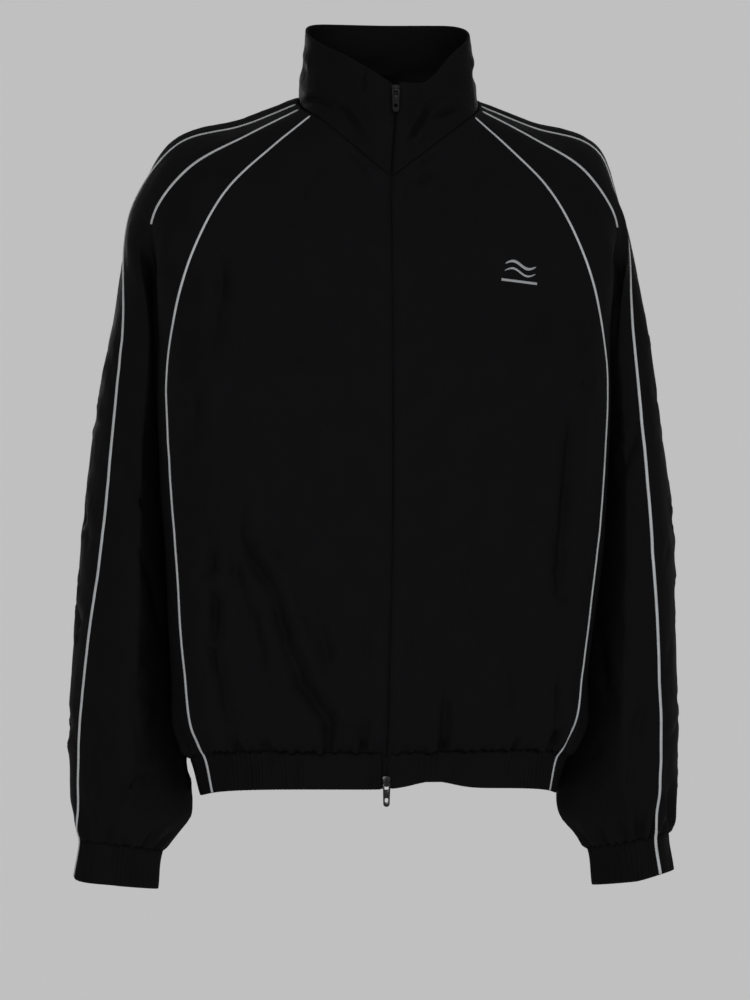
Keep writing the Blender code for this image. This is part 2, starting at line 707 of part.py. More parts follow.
def zip_mount(name, line, height):
    """An empty on the zip at a height: its Z runs up the zip, and its Y goes back into the cloth."""
    for upper, lower in zip(line, line[1:]):
        if lower.z <= height:
            break
    share = (upper.z - height) / (upper.z - lower.z)
    up = (upper - lower).normalized()
    side = Vector((1, 0, 0))
    side = (side - up * side.dot(up)).normalized()
    made = bpy.data.objects.new(name, None)
    turn = Matrix((side, up.cross(side), up)).transposed()
    made.matrix_world = Matrix.Translation(upper.lerp(lower, share)) @ turn.to_4x4()
    bpy.data.collections["track_jacket"].objects.link(made)
    return made


def build_slider(name, mount, bail_height):
    """Two plates before and behind the tapes, the post that joins them, and the bail on the front plate.

    It gives the depth of the middle of the bail's eye, where the pull turns.
    """
    front = -LAYER_GAP - SLIDER_PLATE / 2
    back = COIL_DEPTH + COIL_WALL + LAYER_GAP + SLIDER_PLATE / 2
    plate_size = (SLIDER_WIDTH, SLIDER_PLATE, SLIDER_LENGTH)
    slider = box(name, plate_size, (0, front, 0), BLACK_METAL, "track_jacket")
    slider.parent = mount
    post = box(f"{name}_post", (SLIDER_NECK, back - front, SLIDER_LENGTH * 0.35), (0, (front + back) / 2, 0))
    plate = box(f"{name}_back", (SLIDER_WIDTH * 0.8, SLIDER_PLATE, SLIDER_LENGTH * 0.9), (0, back, 0))
    arch_y = front - SLIDER_PLATE / 2 - BAIL_HEIGHT / 2
    arch_size = (BAIL_WIDTH, BAIL_HEIGHT + SLIDER_PLATE, BAIL_LENGTH)
    arch = box(f"{name}_bail", arch_size, (0, arch_y + SLIDER_PLATE / 2, bail_height))
    eye_size = (BAIL_WIDTH * 2, BAIL_HEIGHT - BAIL_WALL, BAIL_LENGTH - 2 * BAIL_WALL)
    hole = box(f"{name}_eye", eye_size, (0, arch_y + BAIL_WALL / 2, bail_height))
    combine(arch, hole, "DIFFERENCE")
    for piece in (post, plate, arch):
        combine(slider, piece, "UNION")
        piece.parent = mount
    hole.parent = mount
    return arch_y + BAIL_WALL / 2


def build_pull(name, mount, axis_y, axis_z):
    """A flat tab whose crossbar turns in the bail. Its origin is on the crossbar's axis."""
    pivot = bpy.data.objects.new(f"{name}_pivot", None)
    bpy.data.collections["track_jacket"].objects.link(pivot)
    pivot.parent = mount
    pivot.location = (0, axis_y, axis_z)
    shape = bmesh.new()
    top = PULL_BAR / 2
    outline = (
        (PULL_WIDTH / 2, top),
        (PULL_WIDTH / 2, -PULL_LENGTH * 0.3),
        (PULL_END_WIDTH / 2, -PULL_LENGTH + PULL_END_CHAMFER),
        (PULL_END_WIDTH / 2 - PULL_END_CHAMFER, -PULL_LENGTH),
    )
    corners = [shape.verts.new((x, -PULL_WALL / 2, z)) for x, z in outline]
    corners += [shape.verts.new((-x, -PULL_WALL / 2, z)) for x, z in reversed(outline)]
    face = shape.faces.new(corners)
    made = bmesh.ops.extrude_face_region(shape, geom=[face])
    moved = [item for item in made["geom"] if isinstance(item, bmesh.types.BMVert)]
    bmesh.ops.translate(shape, vec=(0, PULL_WALL, 0), verts=moved)
    bmesh.ops.recalc_face_normals(shape, faces=shape.faces)
    mesh = bpy.data.meshes.new(name)
    shape.to_mesh(mesh)
    shape.free()
    pull = new_object(name, mesh, BLACK_METAL)
    pull.parent = pivot
    slot = box(f"{name}_slot", (PULL_SLOT_WIDTH, PULL_WALL * 3, PULL_EYE), (0, 0, -top - PULL_EYE / 2))
    hole_size = (PULL_HOLE_WIDTH, PULL_WALL * 3, PULL_HOLE_LENGTH)
    hole = box(f"{name}_hole", hole_size, (0, 0, -PULL_HOLE_BELOW_AXIS))
    combine(pull, slot, "DIFFERENCE")
    combine(pull, hole, "DIFFERENCE")


def main():
    for old in list(bpy.data.objects):
        bpy.data.objects.remove(old)
    for name in ("track_jacket", "cutters"):
        bpy.context.scene.collection.children.link(bpy.data.collections.new(name))
    halves = {side: grids(side) for side in (1, -1)}
    half, collar_rows = halves[1], collar_grid()
    build_panels(halves)
    for side, rows in halves.items():
        build_piping(side, rows)
        build_cuff_casing(side, rows)
    build_hem_casing(half)
    build_collar(collar_rows)
    build_zip_strips(half, collar_rows)
    line = zip_line(half, collar_rows)
    for name, height, bail in ZIP_SLIDERS:
        mount = zip_mount(f"zip_mount_{name}", line, height)
        axis_depth = build_slider(f"slider_{name}", mount, bail)
        build_pull(f"pull_{name}", mount, axis_depth, bail - PULL_AXIS_BELOW_BAIL)


main()
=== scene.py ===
"""A zip-up track jacket in crinkled black nylon with grey reflective piping, in its worn form without a wearer.

The frame is the part's own: +Z up, the front looks along -Y, +X is the wearer's left, and lengths are in metres.
The cloth follows guide lines that run down the jacket. Each guide has one point for each level, a level's points
are joined by a smooth section, and the folds, gathers and seams are pressed into the surface that this gives.
"""

import json
import logging
import math
import random
from collections.abc import Sequence
from dataclasses import dataclass, field
from enum import Enum

import bmesh
import bpy
import numpy as np
from mathutils import Matrix, Vector, noise

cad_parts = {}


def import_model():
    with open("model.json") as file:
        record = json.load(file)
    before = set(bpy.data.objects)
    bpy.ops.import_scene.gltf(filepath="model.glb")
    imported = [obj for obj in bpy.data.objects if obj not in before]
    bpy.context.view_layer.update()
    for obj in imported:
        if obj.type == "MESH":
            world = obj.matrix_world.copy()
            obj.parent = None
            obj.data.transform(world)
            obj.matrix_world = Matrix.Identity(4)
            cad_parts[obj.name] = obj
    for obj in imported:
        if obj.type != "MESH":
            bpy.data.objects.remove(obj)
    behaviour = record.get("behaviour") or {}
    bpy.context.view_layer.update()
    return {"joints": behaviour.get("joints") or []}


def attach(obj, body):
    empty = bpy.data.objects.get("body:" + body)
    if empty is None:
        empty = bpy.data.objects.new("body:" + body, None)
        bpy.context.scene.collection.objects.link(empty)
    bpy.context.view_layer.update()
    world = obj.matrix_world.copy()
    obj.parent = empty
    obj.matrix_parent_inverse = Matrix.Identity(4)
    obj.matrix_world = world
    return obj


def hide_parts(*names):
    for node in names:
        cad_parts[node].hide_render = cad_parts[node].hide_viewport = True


Grid = np.ndarray  # rows x columns x 3
Rows = Sequence[tuple[float, float, float]]

LOG = logging.getLogger("track_jacket")
JACKET = "jacket"
UV_MAP = "cloth"

ZIP_EDGE = 0.0022  # from the middle to the edge of each front
# How far the worn jacket sways towards +X: height, sway.
SWAY = ((0.010, 0.0075), (-0.100, 0.001), (-0.400, 0.001), (-0.620, -0.004))
# How far both overarm seams turn the same way, out and back: at the armpit, and at the wrist.
ARM_TURN = ((0.005, 0.008), (0.010, 0.014))
ARMPIT, UNDERARM = 3, 4
TORSO_BAND, TORSO_END = 9, 10
SLEEVE_BAND, SLEEVE_END = 10, 11
# How far from an armhole seam, and from a piped seam, the cloth is held.
ARMHOLE_REACH, PIPED_REACH = 0.016, 0.012
# The ribs of cloth on elastic: the least and greatest distance between two, and how deep they are.
RIB_PITCH, RIB_DEPTH = (0.0026, 0.0060), 0.0026
# Where the two sliders are on the zip, and how far each bail stands from its slider's middle.
SLIDER_HEIGHTS = {"top": 0.0090, "bottom": -0.6620}
BAIL_HEIGHTS = {"top": 0.0005, "bottom": -0.0005}
MM_PER_M = 1000  # patterns are scaled from real millimetres
# The wave texture repeats every 2 pi / 20 of a unit, so this over a length in mm makes one band that long.
WAVE_BAND = 0.314

CENTRE_FRONT: Rows = (
    (ZIP_EDGE, -0.112, -0.075), (ZIP_EDGE, -0.119, -0.108), (ZIP_EDGE, -0.128, -0.155),
    (ZIP_EDGE, -0.134, -0.210), (ZIP_EDGE, -0.137, -0.270), (ZIP_EDGE, -0.138, -0.358),
    (ZIP_EDGE, -0.136, -0.462), (ZIP_EDGE, -0.139, -0.562), (ZIP_EDGE, -0.136, -0.616),
    (ZIP_EDGE, -0.122, -0.6350), (ZIP_EDGE, -0.119, -0.6695),
)
FRONT_SEAM: Rows = (
    (0.0785, -0.0720, -0.0120), (0.1140, -0.0820, -0.0430), (0.1590, -0.0940, -0.0900),
    (0.1920, -0.0940, -0.1520), (0.2150, -0.0820, -0.2500), (0.2130, -0.0800, -0.3500),
    (0.2045, -0.0820, -0.4600), (0.1950, -0.0880, -0.5600), (0.1865, -0.0880, -0.6150),
    (0.1740, -0.0700, -0.6390), (0.1660, -0.0680, -0.6755),
)
FRONT_SIDE: Rows = (
    (0.0835, -0.057, -0.0075), (0.1300, -0.071, -0.038), (0.1820, -0.080, -0.078),
    (0.2160, -0.080, -0.128), (0.2235, -0.052, -0.245), (0.2225, -0.050, -0.348),
    (0.2155, -0.052, -0.458), (0.2065, -0.058, -0.560), (0.2025, -0.056, -0.618),
    (0.1875, -0.045, -0.643), (0.1765, -0.042, -0.680),
)
# The armhole seams run down to the underarm point, and go on as the side seam and the under seam.
FRONT_ARMHOLE: Rows = (
    (0.0870, -0.041, -0.003), (0.1400, -0.058, -0.032), (0.1960, -0.064, -0.066),
    (0.2260, -0.060, -0.106), (0.1880, 0.012, -0.235),
)
BACK_ARMHOLE: Rows = (
    (0.0830, 0.032, 0.014), (0.1330, 0.050, -0.022), (0.1930, 0.060, -0.062),
    (0.2180, 0.070, -0.106), (0.1880, 0.012, -0.235),
)
SIDE_SEAM: Rows = (
    (0.1810, 0.0140, -0.3450), (0.1720, 0.0140, -0.4550), (0.1740, 0.0120, -0.5600),
    (0.1820, 0.0100, -0.6180), (0.1810, 0.0060, -0.6430), (0.1760, 0.0060, -0.6800),
)
BACK_SIDE: Rows = (
    (0.0755, 0.042, 0.0135), (0.1220, 0.062, -0.028), (0.1780, 0.078, -0.078),
    (0.2060, 0.088, -0.128), (0.2000, 0.075, -0.240), (0.1920, 0.070, -0.345),
    (0.1840, 0.066, -0.455), (0.1840, 0.064, -0.560), (0.1900, 0.062, -0.618),
    (0.1780, 0.060, -0.643), (0.1710, 0.060, -0.680),
)
BACK_SEAM: Rows = (
    (0.0660, 0.050, 0.013), (0.1080, 0.072, -0.034), (0.1550, 0.094, -0.088),
    (0.1860, 0.104, -0.150), (0.1880, 0.104, -0.250), (0.1830, 0.098, -0.350),
    (0.1760, 0.092, -0.460), (0.1760, 0.092, -0.560), (0.1800, 0.090, -0.618),
    (0.1640, 0.080, -0.643), (0.1570, 0.080, -0.680),
)
CENTRE_BACK: Rows = (
    (0.0, 0.066, 0.008), (0.0, 0.092, -0.030), (0.0, 0.112, -0.085), (0.0, 0.124, -0.160),
    (0.0, 0.126, -0.260), (0.0, 0.122, -0.355), (0.0, 0.116, -0.460), (0.0, 0.118, -0.565),
    (0.0, 0.116, -0.620), (0.0, 0.104, -0.643), (0.0, 0.102, -0.680),
)
UNDER_SEAM: Rows = (
    (0.2100, 0.0220, -0.3450), (0.2020, 0.0280, -0.4550), (0.1960, 0.0200, -0.5600),
    (0.1868, 0.0080, -0.6500), (0.1850, 0.0000, -0.7050), (0.2120, -0.0060, -0.7380),
    (0.2170, -0.0080, -0.7750),
)
SLEEVE_FRONT: Rows = (
    (0.0885, -0.0280, 0.0010), (0.1415, -0.0400, -0.0250), (0.2030, -0.0420, -0.0500),
    (0.2365, -0.0400, -0.1020), (0.2330, -0.0500, -0.2300), (0.2400, -0.0520, -0.3450),
    (0.2410, -0.0560, -0.4550), (0.2410, -0.0580, -0.5600), (0.2430, -0.0580, -0.6500),
    (0.2480, -0.0540, -0.7030), (0.2530, -0.0440, -0.7300), (0.2580, -0.0460, -0.7680),
)
OVERARM_SEAM: Rows = (
    (0.0890, -0.0180, 0.0040), (0.1420, -0.0220, -0.0180), (0.2100, -0.0180, -0.0400),
    (0.2430, -0.0080, -0.0980), (0.2530, -0.0400, -0.2250), (0.2640, -0.0450, -0.3450),
    (0.2745, -0.0460, -0.4550), (0.2840, -0.0420, -0.5600), (0.2880, -0.0400, -0.6500),
    (0.2865, -0.0360, -0.7010), (0.2850, -0.0320, -0.7240), (0.2905, -0.0300, -0.7620),
)
OUTER_ARM: Rows = (
    (0.0890, -0.0040, 0.0100), (0.1425, 0.0040, -0.0080), (0.2160, 0.0060, -0.0350),
    (0.2440, 0.0140, -0.0960), (0.2700, 0.0120, -0.2250), (0.2885, 0.0140, -0.3450),
    (0.2990, 0.0160, -0.4550), (0.3040, 0.0100, -0.5600), (0.3040, -0.0020, -0.6500),
    (0.3010, -0.0060, -0.7000), (0.2945, -0.0080, -0.7220), (0.2995, -0.0100, -0.7600),
)
BACK_ARM: Rows = (
    (0.0875, 0.0140, 0.0140), (0.1390, 0.0300, -0.0120), (0.2090, 0.0360, -0.0440),
    (0.2410, 0.0480, -0.1000), (0.2450, 0.0800, -0.2250), (0.2480, 0.0860, -0.3450),
    (0.2440, 0.0900, -0.4550), (0.2450, 0.0800, -0.5600), (0.2480, 0.0600, -0.6500),
    (0.2490, 0.0460, -0.7030), (0.2530, 0.0280, -0.7300), (0.2580, 0.0260, -0.7680),
)
# The guides that meet the neck, in order round it, and where each goes on up the collar: half way, then the top.
NECK = (
    CENTRE_FRONT, FRONT_SEAM, FRONT_SIDE, FRONT_ARMHOLE, SLEEVE_FRONT, OVERARM_SEAM,
    OUTER_ARM, BACK_ARM, BACK_ARMHOLE, BACK_SIDE, BACK_SEAM, CENTRE_BACK,
)
COLLAR_GUIDES = (
    ((ZIP_EDGE, -0.103, -0.029), (ZIP_EDGE, -0.091, 0.015)),
    ((0.0640, -0.073, 0.014), (0.0480, -0.070, 0.0450)),
    ((0.0755, -0.058, 0.022), (0.0650, -0.055, 0.0550)),
    ((0.0820, -0.041, 0.0275), (0.0765, -0.036, 0.0640)),
    ((0.0845, -0.027, 0.031), (0.0805, -0.023, 0.0695)),
    ((0.0855, -0.016, 0.034), (0.0820, -0.013, 0.0735)),
    ((0.0855, -0.003, 0.0385), (0.0820, -0.001, 0.0780)),
    ((0.0840, 0.015, 0.043), (0.0795, 0.015, 0.0830)),
    ((0.0795, 0.031, 0.0455), (0.0730, 0.030, 0.0870)),
    ((0.0705, 0.042, 0.0465), (0.0635, 0.040, 0.0890)),
    ((0.0600, 0.050, 0.047), (0.0510, 0.048, 0.0900)),
    ((0.0, 0.063, 0.045), (0.0, 0.056, 0.0905)),
)


class Side(Enum):
    """The wearer's side that a piece is on."""

    LEFT = 1
    RIGHT = -1

    @property
    def word(self) -> str:
        """The side's word in a piece's name."""
        return self.name.lower()


class Face(Enum):
    """From where a fold is placed: the two axes that it is drawn on, and which way its cloth looks."""

    FRONT = (0, 2, (0.0, -1.0, 0.0))
    BACK = (0, 2, (0.0, 1.0, 0.0))
    LEFT = (1, 2, (1.0, 0.0, 0.0))
    RIGHT = (1, 2, (-1.0, 0.0, 0.0))


# ---------------------------------------------------------------- sections


def lengths(arrows: np.ndarray) -> np.ndarray:
    """Each arrow's length, kept as a last axis of one."""
    return np.linalg.norm(arrows, axis=-1, keepdims=True)


def unit(arrows: np.ndarray) -> np.ndarray:
    """The arrows at length one."""
    return arrows / np.maximum(lengths(arrows), 1e-12)


def ease(share: np.ndarray) -> np.ndarray:
    """A share from 0 to 1, softened at both ends."""
    share = np.clip(share, 0.0, 1.0)
    return share * share * (3 - 2 * share)


def bell(share: np.ndarray) -> np.ndarray:
    """A bump of height one at 0 that is nearly gone at 2 on either side."""
    return np.exp(-(share**2))


def column_on(side: Side, column: int, points: Grid) -> int:
    """A column counted from the front edge, which is the first one on the wearer's left and the last on the right."""
    return column if side is Side.LEFT else points.shape[1] - 1 - column


def smoothed(line: np.ndarray, times: int) -> np.ndarray:
    """A line evened out between its ends, as a new one.

    Args:
        line: The line's points.
        times: How often it is evened out.

    Returns:
        The new line.
    """
    made = line.copy()
    for _ in range(times):
        made[1:-1] = (made[:-2] + 2 * made[1:-1] + made[2:]) / 4
    return made


def placed(values: np.ndarray, gone: np.ndarray, places: np.ndarray | float) -> np.ndarray:
    """The values of a line's points, read at places between them."""
    return np.stack([np.interp(places, gone, values[:, axis]) for axis in range(3)], axis=-1)


def mixed(first: np.ndarray, second: np.ndarray, share: np.ndarray) -> np.ndarray:
    """Part of the way from the first to the second."""
    return first + (second - first) * share


def even_slope(before: np.ndarray, here: np.ndarray, after: np.ndarray) -> np.ndarray:
    """The direction of a smooth line at points, from neighbours at uneven distances.

    Args:
        before: The neighbours before.
        here: The points.
        after: The neighbours after.

    Returns:
        The slope at each point.
    """
    back, ahead = here - before, after - here
    near, far = np.maximum(lengths(back), 1e-9), np.maximum(lengths(ahead), 1e-9)
    return (back * far / near + ahead * near / far) / (near + far)


def hermite(
    start: np.ndarray, start_slope: np.ndarray, end: np.ndarray, end_slope: np.ndarray, share: np.ndarray
) -> np.ndarray:
    """Points on a smooth curve from its ends and its slopes there.

    Args:
        start: Where it starts.
        start_slope: Its slope there.
        end: Where it ends.
        end_slope: Its slope there.
        share: How far along each point is, from 0 to 1.

    Returns:
        The points.
    """
    square, cube = share**2, share**3
    return (
        (2 * cube - 3 * square + 1) * start
        + (cube - 2 * square + share) * start_slope
        + (3 * square - 2 * cube) * end
        + (cube - square) * end_slope
    )


def on_guide(rows: Sequence, levels: np.ndarray) -> np.ndarray:
    """A guide's points at levels that may lie between its rows.

    Args:
        rows: The guide's points, one for each whole level.
        levels: The levels wanted.

    Returns:
        One point for each level, on a smooth line through all of the guide.
    """
    points = np.asarray(rows, float)
    last = len(points) - 2
    index = np.clip(np.floor(levels).astype(int), 0, last)
    share = (levels - index)[:, None]
    near, far = points[index], points[index + 1]
    before = np.where(index[:, None] > 0, points[np.maximum(index - 1, 0)], 2 * near - far)
    after = np.where(index[:, None] < last, points[np.minimum(index + 2, last + 1)], 2 * far - near)
    span = lengths(far - near)
    return hermite(near, even_slope(before, near, far) * span, far, even_slope(near, far, after) * span, share)


def on_seam(armhole: Rows, below: Rows, levels: np.ndarray) -> np.ndarray:
    """Points on an armhole seam and, under the arm, on the seam that goes on from its end."""
    low = on_guide((armhole[-1], *below), np.maximum(levels - UNDERARM, 0.0))
    return np.where(levels[:, None] <= UNDERARM, on_guide(armhole, np.minimum(levels, UNDERARM)), low)


def section(
    guides: Sequence[np.ndarray],
    first: np.ndarray,
    last: np.ndarray,
    shares: Sequence[np.ndarray],
    flat: dict[int, tuple[np.ndarray, np.ndarray]] | None = None,
) -> Grid:
    """The surface through guides: one smooth section for each row of their points.

    Args:
        guides: Each guide's points, row by row.
        first: The sections' slopes at the first guide.
        last: The sections' slopes at the last guide.
        shares: For each span between two guides, where its columns lie, from above 0 to 1.
        flat: For a span pressed flatter than a round one, how strong its slopes are at its ends.

    Returns:
        The surface's points.
    """
    middle = [even_slope(*three) for three in zip(guides, guides[1:], guides[2:])]
    slopes = [first, *middle, last]
    parts = [guides[0][:, None]]
    for index, share in enumerate(shares):
        start, end = guides[index], guides[index + 1]
        span = lengths(end - start)
        leaving, arriving = (flat or {}).get(index, (1.0, 1.0))
        ends = (start, slopes[index] * span * leaving, end, slopes[index + 1] * span * arriving)
        parts.append(hermite(*(value[:, None] for value in ends), share[None, :, None]))
    return np.concatenate(parts, axis=1)


def pressed(levels: np.ndarray, strength: float) -> np.ndarray:
    """A slope's strength beside the arm: full over the shoulder, less where arm and body lie side by side."""
    return (1 + (strength - 1) * ease(levels - ARMPIT + 1))[:, None]


def zip_slope(here: np.ndarray, ahead: np.ndarray) -> np.ndarray:
    """The sections' slopes at the zip near the neck, where the zip holds the edge flat."""
    return unit((ahead - here) * np.array((1.0, 0.3, 1.0)))


def torso_front(levels: np.ndarray, shares: Sequence[np.ndarray]) -> Grid:
    """The surface from the zip edge to the armhole or side seam, as if on the wearer's left.

    Args:
        levels: The levels of the surface's rows.
        shares: For each span between two guides, where its columns lie.

    Returns:
        The surface's points.
    """
    points = [on_guide(rows, levels) for rows in (CENTRE_FRONT, FRONT_SEAM, FRONT_SIDE)]
    points.append(on_seam(FRONT_ARMHOLE, SIDE_SEAM, levels))
    first = mixed(zip_slope(*points[:2]), np.array((1.0, 0.0, 0.0)), ease(levels / 2)[:, None])
    ring = even_slope(points[2], points[3], on_guide(BACK_SIDE, levels))
    over = even_slope(points[2], points[3], on_guide(SLEEVE_FRONT, levels))
    ring = mixed(over, ring, ease(levels - ARMPIT)[:, None])
    return section(points, first, ring, shares, {2: (pressed(levels, 0.2), pressed(levels, 0.5))})


def torso_back(levels: np.ndarray, shares: Sequence[np.ndarray]) -> Grid:
    """The surface from the armhole or side seam to the middle of the back, as if on the wearer's left.

    Args:
        levels: The levels of the surface's rows.
        shares: For each span between two guides, where its columns lie.

    Returns:
        The surface's points.
    """
    points = [on_guide(rows, levels) for rows in (BACK_SIDE, BACK_SEAM, CENTRE_BACK)]
    points.insert(0, on_seam(BACK_ARMHOLE, SIDE_SEAM, levels))
    ring = even_slope(on_guide(FRONT_SIDE, levels), points[0], points[1])
    over = even_slope(on_guide(BACK_ARM, levels), points[0], points[1])
    ring = mixed(over, ring, ease(levels - ARMPIT)[:, None])
    flat = {0: (pressed(levels, 0.5), pressed(levels, 0.2))}
    return section(points, ring, np.tile((-1.0, 0.0, 0.0), (len(levels), 1)), shares, flat)


def sleeve(levels: np.ndarray, shares: Sequence[np.ndarray], side: Side) -> Grid:
    """The surface from the front armhole or under seam, round the outside, to the back one.

    Args:
        levels: The levels of the surface's rows.
        shares: For each span between two guides, where its columns lie.
        side: The wearer's side.

    Returns:
        The surface's points.
    """
    middle = [on_guide(rows, levels) for rows in (SLEEVE_FRONT, OVERARM_SEAM, OUTER_ARM, BACK_ARM)]
    upper, lower = (np.array((*turn, 0.0)) for turn in ARM_TURN)
    down = ease((levels - ARMPIT) / (SLEEVE_END - ARMPIT))[:, None]
    middle[1] = middle[1] - mixed(upper, lower, down) * ease(levels - ARMPIT + 1)[:, None] * side.value
    front = on_seam(FRONT_ARMHOLE, UNDER_SEAM, levels)
    back = on_seam(BACK_ARMHOLE, UNDER_SEAM, levels)
    points = [front, *middle, back]
    over_front = even_slope(on_guide(FRONT_SIDE, levels), points[0], points[1])
    over_back = even_slope(points[-2], points[-1], on_guide(BACK_SIDE, levels))
    turning, closing = ease(levels - ARMPIT)[:, None], ease(levels - UNDERARM)[:, None]
    first = mixed(over_front, unit(points[1] - points[0]), turning)
    last = mixed(over_back, unit(points[-1] - points[-2]), turning)
    whole = even_slope(points[-2], front, points[1])
    first, last = mixed(first, whole, closing), mixed(last, whole, closing)
    flat = {
        0: (pressed(levels, 0.7), pressed(levels, 0.3)),
        4: (pressed(levels, 0.3), pressed(levels, 0.7)),
    }
    return section(points, first, last, shares, flat)


def stand_collar(levels: np.ndarray, shares: Sequence[np.ndarray]) -> Grid:
    """The collar's surface from the zip edge to the middle of the back, from the neck up."""
    points = [on_guide((rows[0], *above), levels) for rows, above in zip(NECK, COLLAR_GUIDES)]
    return section(points, zip_slope(*points[:2]), np.tile((-1.0, 0.0, 0.0), (len(levels), 1)), shares)


def column_shares(length: float, pitch: float, fine: str = "") -> np.ndarray:
    """Where a span's columns lie, closer together beside a seam so that its edge can roll.

    Args:
        length: The span's usual length.
        pitch: The distance between columns.
        fine: The ends with the seam: "start", "end" or both words.

    Returns:
        The columns' shares of the span, from above 0 to 1.
    """
    count = max(2, round(length / pitch))
    shares = set(np.linspace(0, 1, count + 1))
    for near in (0.0009, 0.0020):
        if "start" in fine:
            shares.add(near / length)
        if "end" in fine:
            shares.add(1 - near / length)
    return np.array(sorted(shares))[1:]


def row_levels(guide: Rows, last: int, pitch: float) -> np.ndarray:
    """Levels of rows that lie a pitch apart on a guide, from its first level to the last one wanted.

    Args:
        guide: The guide that the pitch is measured on.
        last: The last level.
        pitch: The distance between rows.

    Returns:
        The levels in order.
    """
    levels = [0.0]
    for index in range(last):
        length = math.dist(guide[index], guide[index + 1])
        count = max(2, round(length / pitch))
        levels += [index + step / count for step in range(1, count + 1)]
    close = [0.05, 0.11, last - 0.11, last - 0.05]
    return np.array(sorted({*levels, *close}))


def worn(points: Grid, side: Side) -> Grid:
    """The surface on its side of the worn jacket, which stands a little off its middle by its height.

    Args:
        points: The surface as if on the left.
        side: The wearer's side.

    Returns:
        The surface's points on its own side.
    """
    made = points.copy() if side is Side.LEFT else points[:, ::-1] * np.array((-1.0, 1.0, 1.0))
    (high, shift), rest = SWAY[0], SWAY[1:]
    height = made[..., 2]
    sway = np.full(height.shape, shift)
    for low, next_shift in rest:
        sway = np.where(height < high, shift + (next_shift - shift) * ease((high - height) / (high - low)), sway)
        high, shift = low, next_shift
    made[..., 0] += sway
    return made


def joined(*parts: Grid) -> Grid:
    """Surfaces side by side that share a column, as one."""
    return np.concatenate([part[:, :-1] for part in parts[:-1]] + [parts[-1]], axis=1)


def outward(points: Grid) -> Grid:
    """The unit direction out of a surface whose rows run down and columns run anticlockwise seen from below."""
    return unit(np.cross(np.gradient(points, axis=0), np.gradient(points, axis=1)))


def travelled(points: np.ndarray, axis: int) -> np.ndarray:
    """How far along each point is, down a column for axis 0 or along a row for axis 1.

    Args:
        points: The surface's points.
        axis: 0 for down the columns, 1 for along the rows.

    Returns:
        The distance of each point from its first one.
    """
    steps = np.linalg.norm(np.diff(points, axis=axis), axis=-1)
    start = np.zeros_like(np.take(steps, [0], axis=axis))
    return np.concatenate([start, np.cumsum(steps, axis=axis)], axis=axis)


# ---------------------------------------------------------------- folds


@dataclass(frozen=True)
class Crease:
    """One soft fold: a trough along a line, with banks beside it.

    line is drawn on the face's two axes, half_width and depth are the trough's, and lean makes one bank the higher.
    """

    face: Face
    line: tuple[tuple[float, float], ...]
    half_width: float
    depth: float
    lean: float = 0.0
    fade: tuple[float, float] = (0.35, 0.35)


@dataclass(frozen=True)
class CreaseField:
    """Many small creases strewn over a part of the cloth, all nearly one way."""

    face: Face
    low: tuple[float, float]
    high: tuple[float, float]
    count: int
    angle: tuple[float, float]
    length: tuple[float, float]
    half_width: tuple[float, float]
    depth: tuple[float, float]
    seed: int

    def creases(self) -> list[Crease]:
        """The creases, the same ones each time.

        Returns:
            The creases in the order drawn.
        """
        draw = random.Random(self.seed)
        made = []
        for _ in range(self.count):
            middle = Vector((draw.uniform(self.low[0], self.high[0]), draw.uniform(self.low[1], self.high[1])))
            turn = math.radians(draw.uniform(*self.angle))
            way, half = Vector((math.sin(turn), -math.cos(turn))), draw.uniform(*self.length) / 2
            bend = Vector((way.y, -way.x)) * half * draw.uniform(-0.3, 0.3)
            line = tuple(tuple(middle + way * half * step + bend * (1 - step * step)) for step in (-1, 0, 1))
            half_width, depth = draw.uniform(*self.half_width), draw.uniform(*self.depth)
            made.append(Crease(self.face, line, half_width, depth, draw.uniform(-0.8, 0.8), (0.5, 0.5)))
        return made


@dataclass
class Surface:
    """A sheet of cloth on its form: points, the way out of each, how freely it may move and how far it has."""

    points: Grid
    freedom: np.ndarray
    normals: Grid = field(init=False)
    shift: np.ndarray = field(init=False)
    hang: np.ndarray = field(init=False)

    def __post_init__(self) -> None:
        """Finds the normals, with nothing moved yet."""
        self.normals = outward(self.points)
        self.shift = np.zeros(self.points.shape[:2])
        self.hang = np.zeros(self.points.shape[:2])

    def settled(self) -> Grid:
        """The points where the folds have moved them.

        Returns:
            The moved points.
        """
        made = self.points + self.normals * (self.shift * self.freedom)[..., None]
        made[..., 2] -= self.hang
        return made


def welded(first: Surface, column: int, second: Surface, other: int, rows: slice) -> None:
    """Gives two surfaces the same way out along the seam that they share, so that no fold opens it.

    Args:
        first: One surface.
        column: The seam's column in it.
        second: The other surface.
        other: The seam's column in that.
        rows: The rows that they share.
    """
    mean = unit(first.normals[rows, column] + second.normals[rows, other])
    first.normals[rows, column] = mean
    second.normals[rows, other] = mean


def smooth_line(line: Sequence[Sequence[float]], steps: int = 7) -> np.ndarray:
    """Points along a smooth line through those given.

    Args:
        line: The points given.
        steps: The steps between two of them.

    Returns:
        The line's points.
    """
    levels = np.linspace(0, len(line) - 1, (len(line) - 1) * steps + 1)
    flat = [(*point, 0.0) for point in line]
    return on_guide(flat, levels)[:, :2]


